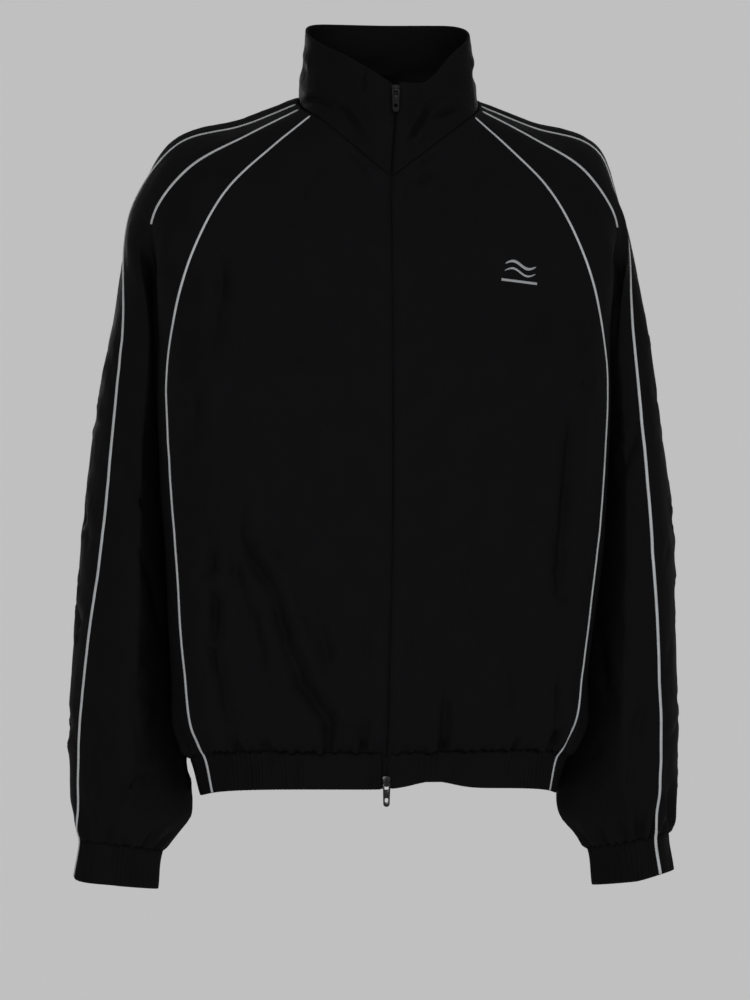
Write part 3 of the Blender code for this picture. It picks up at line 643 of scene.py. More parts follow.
def lifted(crease: Crease, surfaces: Sequence[Surface]) -> tuple[np.ndarray, np.ndarray]:
    """A crease's line laid on the cloth.

    Args:
        crease: The crease, drawn flat.
        surfaces: The cloth that it may lie on.

    Returns:
        The line's points on the cloth, and the way out of the cloth at each.
    """
    across, up, way = crease.face.value
    points = np.concatenate([surface.points.reshape(-1, 3) for surface in surfaces])
    normals = np.concatenate([surface.normals.reshape(-1, 3) for surface in surfaces])
    facing = normals @ np.array(way) > 0.1
    points, normals = points[facing], normals[facing]
    found = []
    for first, second in smooth_line(crease.line):
        away = (points[:, across] - first) ** 2 + (points[:, up] - second) ** 2
        found.append(int(away.argmin()))
    return points[found], normals[found]


def pressed_in(crease: Crease, surfaces: Sequence[Surface], strength: float) -> None:
    """Presses a crease into the cloth: a trough that is sharp at its bottom, between two banks.

    Args:
        crease: The crease.
        surfaces: The cloth that it may lie on.
        strength: How much deeper than its own depth it is pressed.
    """
    line, out = lifted(crease, surfaces)
    reach = crease.half_width * 4
    travel = np.concatenate([[0.0], np.cumsum(np.linalg.norm(np.diff(line, axis=0), axis=1))])
    whole = max(travel[-1], 1e-6)
    low, high = line.min(0) - reach, line.max(0) + reach
    for surface in surfaces:
        near = np.all((surface.points > low) & (surface.points < high), axis=-1)
        if not near.any():
            continue
        points, normals = surface.points[near], surface.normals[near]
        best = np.full(len(points), 1e9)
        along, signed, facing = np.zeros(len(points)), np.zeros(len(points)), np.zeros(len(points))
        for index, (start, end) in enumerate(zip(line, line[1:])):
            step = end - start
            size = float(step @ step)
            if size < 1e-12:
                continue
            share = np.clip((points - start) @ step / size, 0, 1)
            gap = points - start - share[:, None] * step
            away = np.linalg.norm(gap, axis=1)
            side = np.sign(np.einsum("ij,ij->i", np.cross(step, gap), normals))
            closer = away < best
            best = np.where(closer, away, best)
            along = np.where(closer, (travel[index] + share * math.sqrt(size)) / whole, along)
            signed = np.where(closer, away * side, signed)
            facing = np.where(closer, normals @ out[index], facing)
        place = signed / crease.half_width
        trough = 0.50 * bell(place) + 0.50 * bell(place / 0.42)
        banks = (1 + crease.lean) * bell((place - 1.9) / 0.95)
        banks += (1 - crease.lean) * bell((place + 1.9) / 0.95)
        depth = crease.depth * strength * ease(along / crease.fade[0]) * ease((1 - along) / crease.fade[1])
        depth *= 1 + 0.18 * np.sin(along * whole * 90 + crease.line[0][0] * 300)
        surface.shift[near] += (0.32 * banks - trough) * depth * ease(facing * 2)


@dataclass(frozen=True)
class Crumple:
    """The uneven lie of crinkled nylon: long soft swells, and small crinkles along them."""

    swell: float = 0.0011
    swell_size: float = 0.055
    crinkle: float = 0.00035
    crinkle_size: float = 0.014
    upright: float = 0.45

    def press(self, surface: Surface, offset: float = 0.0) -> None:
        """Moves the surface's points by the swells and crinkles at their places.

        Args:
            surface: The cloth.
            offset: Moves the pattern along, so that two cloths differ.
        """
        flat = surface.points.reshape(-1, 3)
        squeezed = flat * np.array((1.0, 1.0, self.upright)) + offset
        large = [noise.noise(Vector(point)) for point in squeezed / self.swell_size]
        small = [noise.ridged_multi_fractal(Vector(point), 1.0, 2.1, 3, 1.0, 2.0)
                 for point in squeezed / self.crinkle_size]
        shift = np.array(large) * self.swell * 2 - (np.array(small) - 1.0) * self.crinkle
        surface.shift += shift.reshape(surface.shift.shape)


@dataclass(frozen=True)
class Pucker:
    """One gather above an elastic edge: where it is along the edge, and the fold that runs up from it."""

    place: float
    half_width: float
    height: float
    depth: float
    lean: float


def strewn_puckers(length: float, pitch: tuple[float, float], height: tuple[float, float],
                   depth: tuple[float, float], seed: int) -> list[Pucker]:
    """Gathers all along an edge, uneven in place, height and depth.

    Args:
        length: The edge's length.
        pitch: The least and greatest distance between two.
        height: The least and greatest height.
        depth: The least and greatest depth.
        seed: For the same gathers each time.

    Returns:
        The gathers in order.
    """
    draw, made = random.Random(seed), []
    place = draw.uniform(*pitch) / 2
    while place < length:
        tall = draw.random() ** 2
        made.append(Pucker(
            place, draw.uniform(0.0022, 0.0042), height[0] + (height[1] - height[0]) * tall,
            depth[0] + (depth[1] - depth[0]) * draw.random(), draw.uniform(-0.25, 0.25),
        ))
        place += draw.uniform(*pitch)
    return made


def gathered(surface: Surface, places: np.ndarray, above: np.ndarray, puckers: Sequence[Pucker],
             ring: float = 0.0, puff: float = 0.0026) -> None:
    """Presses gathers into the cloth above an elastic edge, and puffs it out between them.

    Args:
        surface: The cloth.
        places: How far along the edge each column is.
        above: How far above the edge each point is.
        puckers: The gathers.
        ring: The edge's whole length where it is closed, or 0.
        puff: How far the cloth blouses out over the edge.
    """
    for pucker in puckers:
        across = places[None, :] - pucker.place - pucker.lean * above
        if ring:
            across = (across + ring / 2) % ring - ring / 2
        wide = pucker.half_width * (1 + above / 0.05)
        trough = bell(across / wide) - 0.45 * bell((np.abs(across) - 2 * wide) / wide)
        fading = bell(above / pucker.height) * (0.3 + 0.7 * ease(above / 0.007))
        surface.shift -= pucker.depth * trough * fading
    uneven = 1 + 0.45 * np.sin(places * 131) * np.sin(places * 57 + 2)
    held = np.zeros(len(places))
    for pucker in puckers:
        held = np.maximum(held, bell((places - pucker.place) / 0.0026))
    surface.hang += (1 - held) * uneven * 0.0026 * bell(above / 0.006)
    surface.shift += puff * uneven[None, :] * bell((above - 0.010) / 0.009)
    surface.shift -= 0.0014 * bell(above / 0.0024)


def fluting(places: np.ndarray, heights: np.ndarray, length: float, seed: int, ring: bool) -> np.ndarray:
    """The fine upright ribs of cloth on elastic, as narrow valleys that wander and fade.

    Args:
        places: How far along the edge each column is.
        heights: The share of the band's height that each row is down.
        length: The edge's whole length.
        seed: For the same ribs each time.
        ring: Whether the edge is closed, so that the ribs meet.

    Returns:
        Each point's distance out.
    """
    draw, knots = random.Random(seed), [0.0]
    while knots[-1] < length:
        knots.append(knots[-1] + draw.uniform(*RIB_PITCH))
    knots = np.array(knots) * (length / knots[-1])
    depths = [draw.uniform(0.15, 1.0) * (0.75 + 0.9 * noise.noise(Vector((knot * 13, seed, 0.5)))) for knot in knots]
    depths[-1] = depths[0] if ring else depths[-1]
    along, down = places[None, :], heights[:, None]
    wander = 0.0005 * (np.sin(along * 190 + down * 2.6 + seed) + np.sin(along * 83 - down * 3.4))
    moved = (along + wander) % length if ring else np.clip(along + wander, 0, length)
    turns = np.interp(moved, knots, np.arange(len(knots)))
    valley = bell((turns % 1 - 0.5) / 0.18)
    strength = np.interp(moved, knots, depths) * (0.75 + 0.25 * np.sin(along * 150 + down * 5))
    return (0.3 - valley) * strength * RIB_DEPTH


def rolled(points: Grid, normals: Grid, edges: str, depth: float = 0.0009, reach: float = 0.0014) -> Grid:
    """A panel whose edges turn in to its seams.

    Args:
        points: The panel's points.
        normals: The way out at each.
        edges: The edges that turn in, among "first", "last", "top" and "bottom".
        depth: How deep the seam lies.
        reach: How far from the edge the turn starts.

    Returns:
        The panel's points with the edges turned in.
    """
    across, down = travelled(points, 1), travelled(points, 0)
    distances = {
        "first": across, "last": across[:, -1:] - across, "top": down, "bottom": down[-1:] - down,
    }
    sunk = np.zeros(points.shape[:2])
    for name in edges.split():
        sunk = np.maximum(sunk, depth * bell(distances[name] / reach))
    return points - normals * sunk[..., None]


def turned_over(outer: Grid, normals: Grid, gap: float, steps: int = 5, inner_rows: int = 0,
                pinch: np.ndarray | None = None) -> Grid:
    """Cloth folded back on itself at its last row, as a casing or a stand collar is.

    Args:
        outer: The outer layer, from its sewn edge to the fold.
        normals: The way out at each of its points.
        gap: The distance between the two layers.
        steps: The rows round the fold.
        inner_rows: How many of the outer rows the inner layer has, or 0 for all.
        pinch: For each column, the share of the gap that is left, where the layers are sewn together at the ends.

    Returns:
        The outer layer, the fold and the inner layer, in one.
    """
    share = np.ones(outer.shape[1]) if pinch is None else pinch
    radius = (share * gap / 2)[:, None]
    way, out = unit(outer[-1] - outer[-2]), normals[-1]
    rows = [*outer]
    for step in range(1, steps):
        turn = math.pi * step / steps
        rows.append(outer[-1] + way * radius * math.sin(turn) - out * radius * (1 - math.cos(turn)))
    inside = outer - normals * (share * gap)[None, :, None]
    rows += [*inside[::-1][: inner_rows or None]]
    return np.array(rows)


FRONT, BACK, ON_LEFT, ON_RIGHT = Face.FRONT, Face.BACK, Face.LEFT, Face.RIGHT
# The main folds of the body. The front's follow the real ones, and the back has similar ones.
BODY_CREASES = (
    Crease(FRONT, ((-0.147, -0.371), (-0.139, -0.445), (-0.119, -0.470), (-0.104, -0.519), (-0.084, -0.572),
                   (-0.061, -0.605), (-0.058, -0.630)), 0.0085, 0.0046, 0.5, (0.30, 0.08)),
    Crease(FRONT, ((-0.160, -0.400), (-0.148, -0.470), (-0.128, -0.530), (-0.118, -0.590)), 0.0120, 0.0024, -0.4),
    Crease(FRONT, ((-0.075, -0.490), (-0.066, -0.525), (-0.058, -0.563)), 0.0065, 0.0026, 0.3),
    Crease(FRONT, ((-0.096, -0.430), (-0.090, -0.480), (-0.074, -0.520)), 0.0080, 0.0016, 0.2),
    Crease(FRONT, ((-0.026, -0.510), (-0.024, -0.554)), 0.0050, 0.0020),
    Crease(FRONT, ((-0.180, -0.400), (-0.171, -0.475), (-0.172, -0.549), (-0.164, -0.594), (-0.154, -0.630)),
           0.0085, 0.0040, 0.3, (0.25, 0.10)),
    Crease(FRONT, ((-0.178, -0.139), (-0.167, -0.157), (-0.170, -0.228), (-0.169, -0.255)), 0.0085, 0.0026, -0.3),
    Crease(FRONT, ((-0.198, -0.180), (-0.192, -0.250), (-0.188, -0.340)), 0.0090, 0.0022, 0.3),
    Crease(FRONT, ((0.167, -0.240), (0.190, -0.270), (0.193, -0.293)), 0.0065, 0.0028, 0.4),
    Crease(FRONT, ((0.179, -0.276), (0.173, -0.389), (0.167, -0.460), (0.161, -0.525)), 0.0085, 0.0048, 0.4),
    Crease(FRONT, ((0.167, -0.460), (0.176, -0.504)), 0.0060, 0.0026),
    Crease(FRONT, ((0.164, -0.550), (0.166, -0.590), (0.162, -0.634)), 0.0070, 0.0036, -0.3, (0.35, 0.08)),
    Crease(FRONT, ((0.014, -0.490), (0.016, -0.540), (0.014, -0.584)), 0.0050, 0.0014),
    Crease(FRONT, ((-0.018, -0.579), (-0.024, -0.605), (-0.026, -0.632)), 0.0050, 0.0024, 0.0, (0.40, 0.08)),
    Crease(FRONT, ((0.056, -0.560), (0.050, -0.600), (0.048, -0.634)), 0.0050, 0.0028, 0.2, (0.40, 0.08)),
    Crease(FRONT, ((0.110, -0.520), (0.121, -0.570), (0.118, -0.612)), 0.0100, 0.0018, -0.2),
    Crease(FRONT, ((0.022, -0.086), (0.034, -0.076), (0.047, -0.068)), 0.0050, 0.0020, 0.3),
    Crease(FRONT, ((-0.008, -0.082), (-0.026, -0.068), (-0.050, -0.045)), 0.0034, 0.0017, -0.3),
    Crease(FRONT, ((0.014, -0.074), (0.032, -0.062), (0.054, -0.048)), 0.0030, 0.0012, 0.3),
    Crease(FRONT, ((-0.120, -0.270), (-0.090, -0.330), (-0.050, -0.372)), 0.0140, 0.0014),
    Crease(FRONT, ((0.125, -0.260), (0.092, -0.330), (0.060, -0.392)), 0.0140, 0.0013),
    Crease(FRONT, ((0.085, -0.400), (0.078, -0.470), (0.086, -0.540)), 0.0120, 0.0015, 0.3),
    Crease(BACK, ((-0.186, -0.168), (-0.150, -0.235), (-0.110, -0.330), (-0.085, -0.420)), 0.0120, 0.0042, 0.3),
    Crease(BACK, ((0.184, -0.165), (0.158, -0.240), (0.128, -0.320)), 0.0110, 0.0040, -0.3),
    Crease(BACK, ((0.168, -0.300), (0.130, -0.390), (0.108, -0.480), (0.104, -0.560)), 0.0100, 0.0042, 0.4),
    Crease(BACK, ((0.020, -0.400), (-0.004, -0.480), (-0.024, -0.570), (-0.022, -0.628)), 0.0095, 0.0038, 0.2,
           (0.35, 0.10)),
    Crease(BACK, ((-0.140, -0.430), (-0.126, -0.520), (-0.136, -0.628)), 0.0090, 0.0040, -0.4, (0.35, 0.08)),
    Crease(BACK, ((0.070, -0.520), (0.064, -0.580), (0.070, -0.630)), 0.0070, 0.0030, 0.2, (0.40, 0.08)),
    Crease(BACK, ((-0.070, -0.540), (-0.074, -0.590), (-0.066, -0.630)), 0.0065, 0.0028, -0.2, (0.40, 0.08)),
    Crease(BACK, ((-0.080, -0.120), (0.000, -0.142), (0.082, -0.118)), 0.0150, 0.0022),
    Crease(BACK, ((-0.050, -0.052), (0.000, -0.062), (0.050, -0.050)), 0.0080, 0.0016),
    Crease(BACK, ((0.050, -0.250), (0.010, -0.330), (-0.030, -0.390)), 0.0160, 0.0020),
    Crease(ON_LEFT, ((-0.020, -0.300), (0.020, -0.380), (0.045, -0.460)), 0.0090, 0.0030, 0.3),
    Crease(ON_LEFT, ((-0.030, -0.470), (-0.010, -0.550), (-0.016, -0.625)), 0.0080, 0.0030, -0.2, (0.35, 0.08)),
    Crease(ON_RIGHT, ((-0.020, -0.310), (0.015, -0.390), (0.040, -0.480)), 0.0090, 0.0030, -0.3),
    Crease(ON_RIGHT, ((0.020, -0.490), (0.004, -0.560), (0.010, -0.625)), 0.0080, 0.0030, 0.2, (0.35, 0.08)),
)
BODY_FIELDS = (
    CreaseField(FRONT, (-0.17, -0.60), (-0.02, -0.36), 13, (-32, 10), (0.06, 0.12), (0.005, 0.010),
                (0.0005, 0.0012), 11),
    CreaseField(FRONT, (0.02, -0.60), (0.17, -0.36), 13, (-10, 30), (0.06, 0.12), (0.005, 0.010),
                (0.0005, 0.0012), 12),
    CreaseField(FRONT, (-0.15, -0.34), (0.15, -0.14), 14, (-50, 50), (0.05, 0.10), (0.006, 0.011),
                (0.0003, 0.0008), 13),
    CreaseField(BACK, (-0.17, -0.60), (0.17, -0.16), 36, (-32, 32), (0.06, 0.14), (0.006, 0.012),
                (0.0006, 0.0016), 14),
)
ARM_CREASES = (
    Crease(FRONT, ((-0.226, -0.120), (-0.223, -0.222), (-0.224, -0.341)), 0.0100, 0.0042, 0.3),
    Crease(FRONT, ((-0.283, -0.694), (-0.262, -0.680), (-0.236, -0.662), (-0.214, -0.652)), 0.0065, 0.0032, 0.5),
    Crease(FRONT, ((-0.284, -0.610), (-0.284, -0.660), (-0.277, -0.716)), 0.0070, 0.0030, 0.2, (0.40, 0.30)),
    Crease(FRONT, ((-0.250, -0.420), (-0.228, -0.470), (-0.216, -0.540)), 0.0100, 0.0030, -0.3),
    Crease(FRONT, ((-0.268, -0.330), (-0.246, -0.380), (-0.226, -0.408)), 0.0095, 0.0026, 0.4),
    Crease(FRONT, ((-0.240, -0.550), (-0.246, -0.600), (-0.240, -0.640)), 0.0085, 0.0022),
    Crease(FRONT, ((0.228, -0.141), (0.232, -0.170), (0.228, -0.204)), 0.0060, 0.0026, 0.3),
    Crease(FRONT, ((0.244, -0.136), (0.236, -0.180), (0.228, -0.250)), 0.0080, 0.0026, -0.3),
    Crease(FRONT, ((0.260, -0.300), (0.246, -0.336), (0.236, -0.372)), 0.0075, 0.0028, 0.3),
    Crease(FRONT, ((0.214, -0.500), (0.219, -0.560), (0.226, -0.606)), 0.0085, 0.0034, 0.2),
    Crease(FRONT, ((0.264, -0.560), (0.250, -0.630), (0.240, -0.700)), 0.0080, 0.0036, 0.4, (0.35, 0.30)),
    Crease(FRONT, ((0.272, -0.430), (0.256, -0.480), (0.250, -0.530)), 0.0090, 0.0022, -0.3),
    Crease(BACK, ((-0.230, -0.400), (-0.262, -0.430), (-0.290, -0.470)), 0.0100, 0.0040, 0.3),
    Crease(BACK, ((-0.222, -0.340), (-0.252, -0.368), (-0.280, -0.396)), 0.0090, 0.0034, -0.3),
    Crease(BACK, ((-0.225, -0.470), (-0.250, -0.510), (-0.270, -0.570)), 0.0095, 0.0032, 0.3),
    Crease(BACK, ((-0.246, -0.580), (-0.256, -0.640), (-0.250, -0.708)), 0.0080, 0.0034, -0.2, (0.40, 0.30)),
    Crease(BACK, ((0.226, -0.396), (0.258, -0.370), (0.286, -0.330)), 0.0100, 0.0040, 0.3),
    Crease(BACK, ((0.224, -0.446), (0.252, -0.428), (0.282, -0.400)), 0.0090, 0.0034, -0.3),
    Crease(BACK, ((0.222, -0.500), (0.250, -0.540), (0.264, -0.600)), 0.0095, 0.0032, 0.2),
    Crease(BACK, ((0.250, -0.600), (0.244, -0.660), (0.250, -0.710)), 0.0075, 0.0032, 0.2, (0.40, 0.30)),
    Crease(ON_LEFT, ((-0.020, -0.160), (0.010, -0.220), (0.050, -0.270)), 0.0110, 0.0028, 0.3),
    Crease(ON_LEFT, ((0.050, -0.350), (0.010, -0.400), (-0.026, -0.430)), 0.0100, 0.0034, 0.3),
    Crease(ON_LEFT, ((0.056, -0.430), (0.020, -0.470), (-0.020, -0.490)), 0.0090, 0.0028, -0.3),
    Crease(ON_LEFT, ((0.020, -0.560), (0.006, -0.630), (0.010, -0.700)), 0.0080, 0.0030, 0.2, (0.40, 0.30)),
    Crease(ON_RIGHT, ((-0.020, -0.170), (0.012, -0.230), (0.046, -0.286)), 0.0110, 0.0028, -0.3),
    Crease(ON_RIGHT, ((0.052, -0.360), (0.010, -0.404), (-0.024, -0.440)), 0.0100, 0.0034, 0.3),
    Crease(ON_RIGHT, ((0.050, -0.440), (0.014, -0.490), (-0.020, -0.520)), 0.0090, 0.0028, -0.3),
    Crease(ON_RIGHT, ((-0.006, -0.570), (0.010, -0.640), (0.004, -0.702)), 0.0080, 0.0030, 0.2, (0.40, 0.30)),
)
ARM_FIELDS = (
    CreaseField(FRONT, (-0.29, -0.68), (-0.21, -0.22), 16, (-45, 45), (0.02, 0.07), (0.004, 0.008),
                (0.0006, 0.0014), 21),
    CreaseField(FRONT, (0.21, -0.68), (0.29, -0.22), 16, (-45, 45), (0.02, 0.07), (0.004, 0.008),
                (0.0006, 0.0014), 22),
    CreaseField(BACK, (-0.29, -0.68), (-0.21, -0.22), 18, (-60, 60), (0.02, 0.08), (0.004, 0.009),
                (0.0008, 0.0018), 23),
    CreaseField(BACK, (0.21, -0.68), (0.29, -0.22), 18, (-60, 60), (0.02, 0.08), (0.004, 0.009),
                (0.0008, 0.0018), 24),
    CreaseField(ON_LEFT, (-0.04, -0.66), (0.07, -0.16), 16, (-60, 60), (0.02, 0.08), (0.004, 0.009),
                (0.0007, 0.0016), 25),
    CreaseField(ON_RIGHT, (-0.04, -0.66), (0.07, -0.16), 16, (-60, 60), (0.02, 0.08), (0.004, 0.009),
                (0.0007, 0.0016), 26),
)
COLLAR_CREASES = (
    Crease(FRONT, ((-0.082, 0.004), (-0.066, 0.001), (-0.053, -0.007), (-0.045, -0.018)), 0.0036, 0.0020, 0.3),
    Crease(FRONT, ((-0.062, 0.002), (-0.047, -0.005), (-0.036, -0.018), (-0.027, -0.033), (-0.016, -0.045)),
           0.0032, 0.0020, 0.4),
    Crease(FRONT, ((-0.022, 0.034), (-0.024, 0.020), (-0.021, 0.004)), 0.0028, 0.0011),
    Crease(FRONT, ((-0.036, 0.002), (-0.022, -0.012), (-0.012, -0.030)), 0.0028, 0.0009, 0.3),
    Crease(FRONT, ((0.054, 0.002), (0.041, -0.007), (0.031, -0.022), (0.019, -0.039), (0.008, -0.044)),
           0.0032, 0.0021, -0.4),
    Crease(FRONT, ((0.036, -0.022), (0.048, -0.015), (0.060, -0.010), (0.076, -0.003)), 0.0034, 0.0020, 0.3),
    Crease(FRONT, ((0.010, 0.000), (0.024, 0.003), (0.040, 0.003)), 0.0024, 0.0010),
    Crease(FRONT, ((0.012, -0.008), (0.026, -0.005), (0.036, -0.004)), 0.0024, 0.0008),
    Crease(FRONT, ((0.014, -0.052), (0.030, -0.040), (0.048, -0.030)), 0.0026, 0.0010, 0.3),
    Crease(BACK, ((-0.060, 0.050), (-0.020, 0.040), (0.030, 0.044)), 0.0070, 0.0018),
    Crease(BACK, ((0.010, 0.024), (0.040, 0.030), (0.066, 0.040)), 0.0060, 0.0018, 0.3),
    Crease(BACK, ((-0.056, 0.024), (-0.030, 0.018), (-0.008, 0.026)), 0.0060, 0.0016, -0.3),
    Crease(ON_LEFT, ((-0.040, 0.030), (-0.010, 0.036), (0.020, 0.050)), 0.0060, 0.0020, 0.3),
    Crease(ON_RIGHT, ((-0.040, 0.028), (-0.012, 0.040), (0.020, 0.046)), 0.0060, 0.0020, -0.3),
)
# The gathers that stand out above the front of the hem: how far from the middle, height, depth.
FRONT_PUCKERS = (
    (-0.145, 0.026, 0.00468), (-0.118, 0.016, 0.00396), (-0.060, 0.034, 0.00612), (-0.027, 0.026, 0.00504),
    (-0.010, 0.014, 0.00252), (0.014, 0.014, 0.00252), (0.049, 0.042, 0.00504), (0.062, 0.012, 0.00324),
    (0.118, 0.022, 0.00468), (0.156, 0.040, 0.00540),
)


# ---------------------------------------------------------------- meshes and finishes


def new_object(name: str, mesh: bpy.types.Mesh) -> bpy.types.Object:
    """A mesh's object, in the scene.

    Args:
        name: The piece's name.
        mesh: Its mesh.

    Returns:
        The object.
    """
    made = bpy.data.objects.new(name, mesh)
    bpy.context.scene.collection.objects.link(made)
    return made


def from_bmesh(name: str, shape: bmesh.types.BMesh, smooth: bool = True) -> bpy.types.Object:
    """The object that holds a finished bmesh.

    Args:
        name: The piece's name.
        shape: The bmesh, which this frees.
        smooth: Whether its faces are shaded smooth.

    Returns:
        The object.
    """
    mesh = bpy.data.meshes.new(name)
    shape.to_mesh(mesh)
    shape.free()
    mesh.polygons.foreach_set("use_smooth", np.full(len(mesh.polygons), smooth))
    return new_object(name, mesh)


def cloth_sheet(name: str, points: Grid, wall: float, ring: bool = False) -> bpy.types.Object:
    """A sheet of cloth with a thin wall inside its points, whose UV map holds real distances along the cloth.

    Args:
        name: The piece's name.
        points: The surface, row by row.
        wall: The cloth's thickness.
        ring: Whether its last column meets its first.

    Returns:
        The piece.
    """
    rows, columns = points.shape[:2]
    shape = bmesh.new()
    bmesh.ops.create_grid(shape, x_segments=columns - 1, y_segments=rows - 1, size=1)
    mesh = bpy.data.meshes.new(name)
    shape.to_mesh(mesh)
    shape.free()
    flat = np.empty(len(mesh.vertices) * 3)
    mesh.vertices.foreach_get("co", flat)
    flat = flat.reshape(-1, 3)
    column = np.rint((flat[:, 0] + 1) / 2 * (columns - 1)).astype(int)
    row = np.rint((1 - flat[:, 1]) / 2 * (rows - 1)).astype(int)
    mesh.vertices.foreach_set("co", points[row, column].ravel())
    corners = np.empty(len(mesh.loops), int)
    mesh.loops.foreach_get("vertex_index", corners)
    across, down = travelled(points, 1), travelled(points, 0)
    middle = across[:, columns // 2][:, None]
    uv = np.stack([(across - middle)[row, column], -down[row, column]], axis=-1)[corners]
    layer = mesh.uv_layers.new(name=UV_MAP)
    layer.data.foreach_set("uv", uv.ravel())
    if ring:
        shape = bmesh.new()
        shape.from_mesh(mesh)
        bmesh.ops.remove_doubles(shape, verts=shape.verts, dist=0.00005)
        shape.to_mesh(mesh)
        shape.free()
    mesh.polygons.foreach_set("use_smooth", np.full(len(mesh.polygons), True))
    mesh.update()
    made = new_object(name, mesh)
    solid = made.modifiers.new("wall", "SOLIDIFY")
    solid.thickness, solid.offset = wall, -1
    return made


def linear(colour: str) -> tuple[float, float, float, float]:
    """An sRGB hex colour as the linear one that shaders take."""
    parts = [int(colour[start:start + 2], 16) / 255 for start in (1, 3, 5)]
    return (*(part / 12.92 if part <= 0.04045 else ((part + 0.055) / 1.055) ** 2.4 for part in parts), 1.0)


def add_node(tree: bpy.types.NodeTree, kind: str, settings: dict | None = None,
             inputs: dict | None = None) -> bpy.types.Node:
    """Adds a node.

    Args:
        tree: The tree that it goes in.
        kind: The node's type.
        settings: Its properties by name.
        inputs: For each input by name or number, its value or the output socket that feeds it.

    Returns:
        The node.
    """
    made = tree.nodes.new(kind)
    for key, value in (settings or {}).items():
        setattr(made, key, value)
    for key, value in (inputs or {}).items():
        if isinstance(value, bpy.types.NodeSocket):
            tree.links.new(value, made.inputs[key])
        else:
            made.inputs[key].default_value = value
    return made


def empty_material(name: str) -> tuple[bpy.types.Material, bpy.types.NodeTree]:
    """A material with no nodes, and its tree.

    Args:
        name: The material's name.

    Returns:
        The material and its node tree.
    """
    made = bpy.data.materials.new(name)
    made.use_nodes = True
    made.node_tree.nodes.clear()
    return made, made.node_tree


def shaded(tree: bpy.types.NodeTree, inputs: dict) -> None:
    """Ends a tree in a Principled shader with these inputs."""
    shader = add_node(tree, "ShaderNodeBsdfPrincipled", inputs=inputs)
    add_node(tree, "ShaderNodeOutputMaterial", inputs={"Surface": shader.outputs[0]})


def two_tone(tree: bpy.types.NodeTree, share: bpy.types.NodeSocket, dark: str, light: str) -> bpy.types.NodeSocket:
    """A colour between two, by a share."""
    mix = add_node(tree, "ShaderNodeMix", {"data_type": "RGBA"}, {"Factor": share, 6: linear(dark), 7: linear(light)})
    return mix.outputs[2]


def in_millimetres(tree: bpy.types.NodeTree, place: bpy.types.NodeSocket, tall: float = 1.0) -> bpy.types.Node:
    """A place in millimetres, with its second axis drawn out where tall is under 1."""
    scale = (MM_PER_M, MM_PER_M * tall, MM_PER_M)
    return add_node(tree, "ShaderNodeMapping", inputs={"Vector": place, "Scale": scale})


@dataclass(frozen=True)
class CrinkledNylon:
    """Woven nylon, dyed black, washed and crinkled: nearly matt, with a fine dry crinkle.

    Thread spacing is 0.25 mm in the real cloth and too fine to show, so it is drawn at thread_mm.
    """

    name: str = "crinkled_nylon_black"
    dark: str = "#0b0b0c"
    light: str = "#131315"
    roughness: tuple[float, float] = (0.58, 0.70)
    specular: float = 0.035
    thread_mm: float = 0.7
    crinkle_mm: float = 5.0

    def build(self) -> bpy.types.Material:
        """The material.

        Returns:
            The finished material.
        """
        made, tree = empty_material(self.name)
        uv = add_node(tree, "ShaderNodeUVMap", {"uv_map": UV_MAP})
        thread = in_millimetres(tree, uv.outputs[0])
        long = in_millimetres(tree, uv.outputs[0], 0.42)
        waves = []
        for direction in ("X", "Y"):
            settings = {"wave_type": "BANDS", "bands_direction": direction, "wave_profile": "SIN"}
            inputs = {"Vector": thread.outputs[0], "Scale": WAVE_BAND / self.thread_mm, "Distortion": 0.6,
                      "Detail": 1.0, "Detail Scale": 0.4}
            waves.append(add_node(tree, "ShaderNodeTexWave", settings, inputs))
        weave = add_node(tree, "ShaderNodeMath", {"operation": "MULTIPLY"},
                         {0: waves[0].outputs["Fac"], 1: waves[1].outputs["Fac"]})
        crinkle = add_node(tree, "ShaderNodeTexNoise", {"noise_type": "RIDGED_MULTIFRACTAL"},
                           {"Vector": long.outputs[0], "Scale": 1 / self.crinkle_mm, "Detail": 4.0,
                            "Roughness": 0.55, "Distortion": 0.4})
        patches = add_node(tree, "ShaderNodeTexNoise", inputs={
            "Vector": thread.outputs[0], "Scale": 0.03, "Detail": 3.0, "Roughness": 0.6})
        folds = add_node(tree, "ShaderNodeBump", inputs={
            "Strength": 0.45, "Distance": 0.0006, "Height": crinkle.outputs["Fac"]})
        threads = add_node(tree, "ShaderNodeBump", inputs={
            "Strength": 0.35, "Distance": 0.00012, "Height": weave.outputs[0], "Normal": folds.outputs[0]})
        rough = add_node(tree, "ShaderNodeMapRange", inputs={
            "Value": patches.outputs["Fac"], "From Min": 0.3, "From Max": 0.7,
            "To Min": self.roughness[0], "To Max": self.roughness[1]})
        shade = add_node(tree, "ShaderNodeMath", {"operation": "MULTIPLY_ADD"},
                         {0: weave.outputs[0], 1: 0.35, 2: patches.outputs["Fac"]})
        shaded(tree, {
            "Base Color": two_tone(tree, shade.outputs[0], self.dark, self.light),
            "Roughness": rough.outputs[0], "Normal": threads.outputs[0],
            "Specular IOR Level": self.specular,
        })
        return made


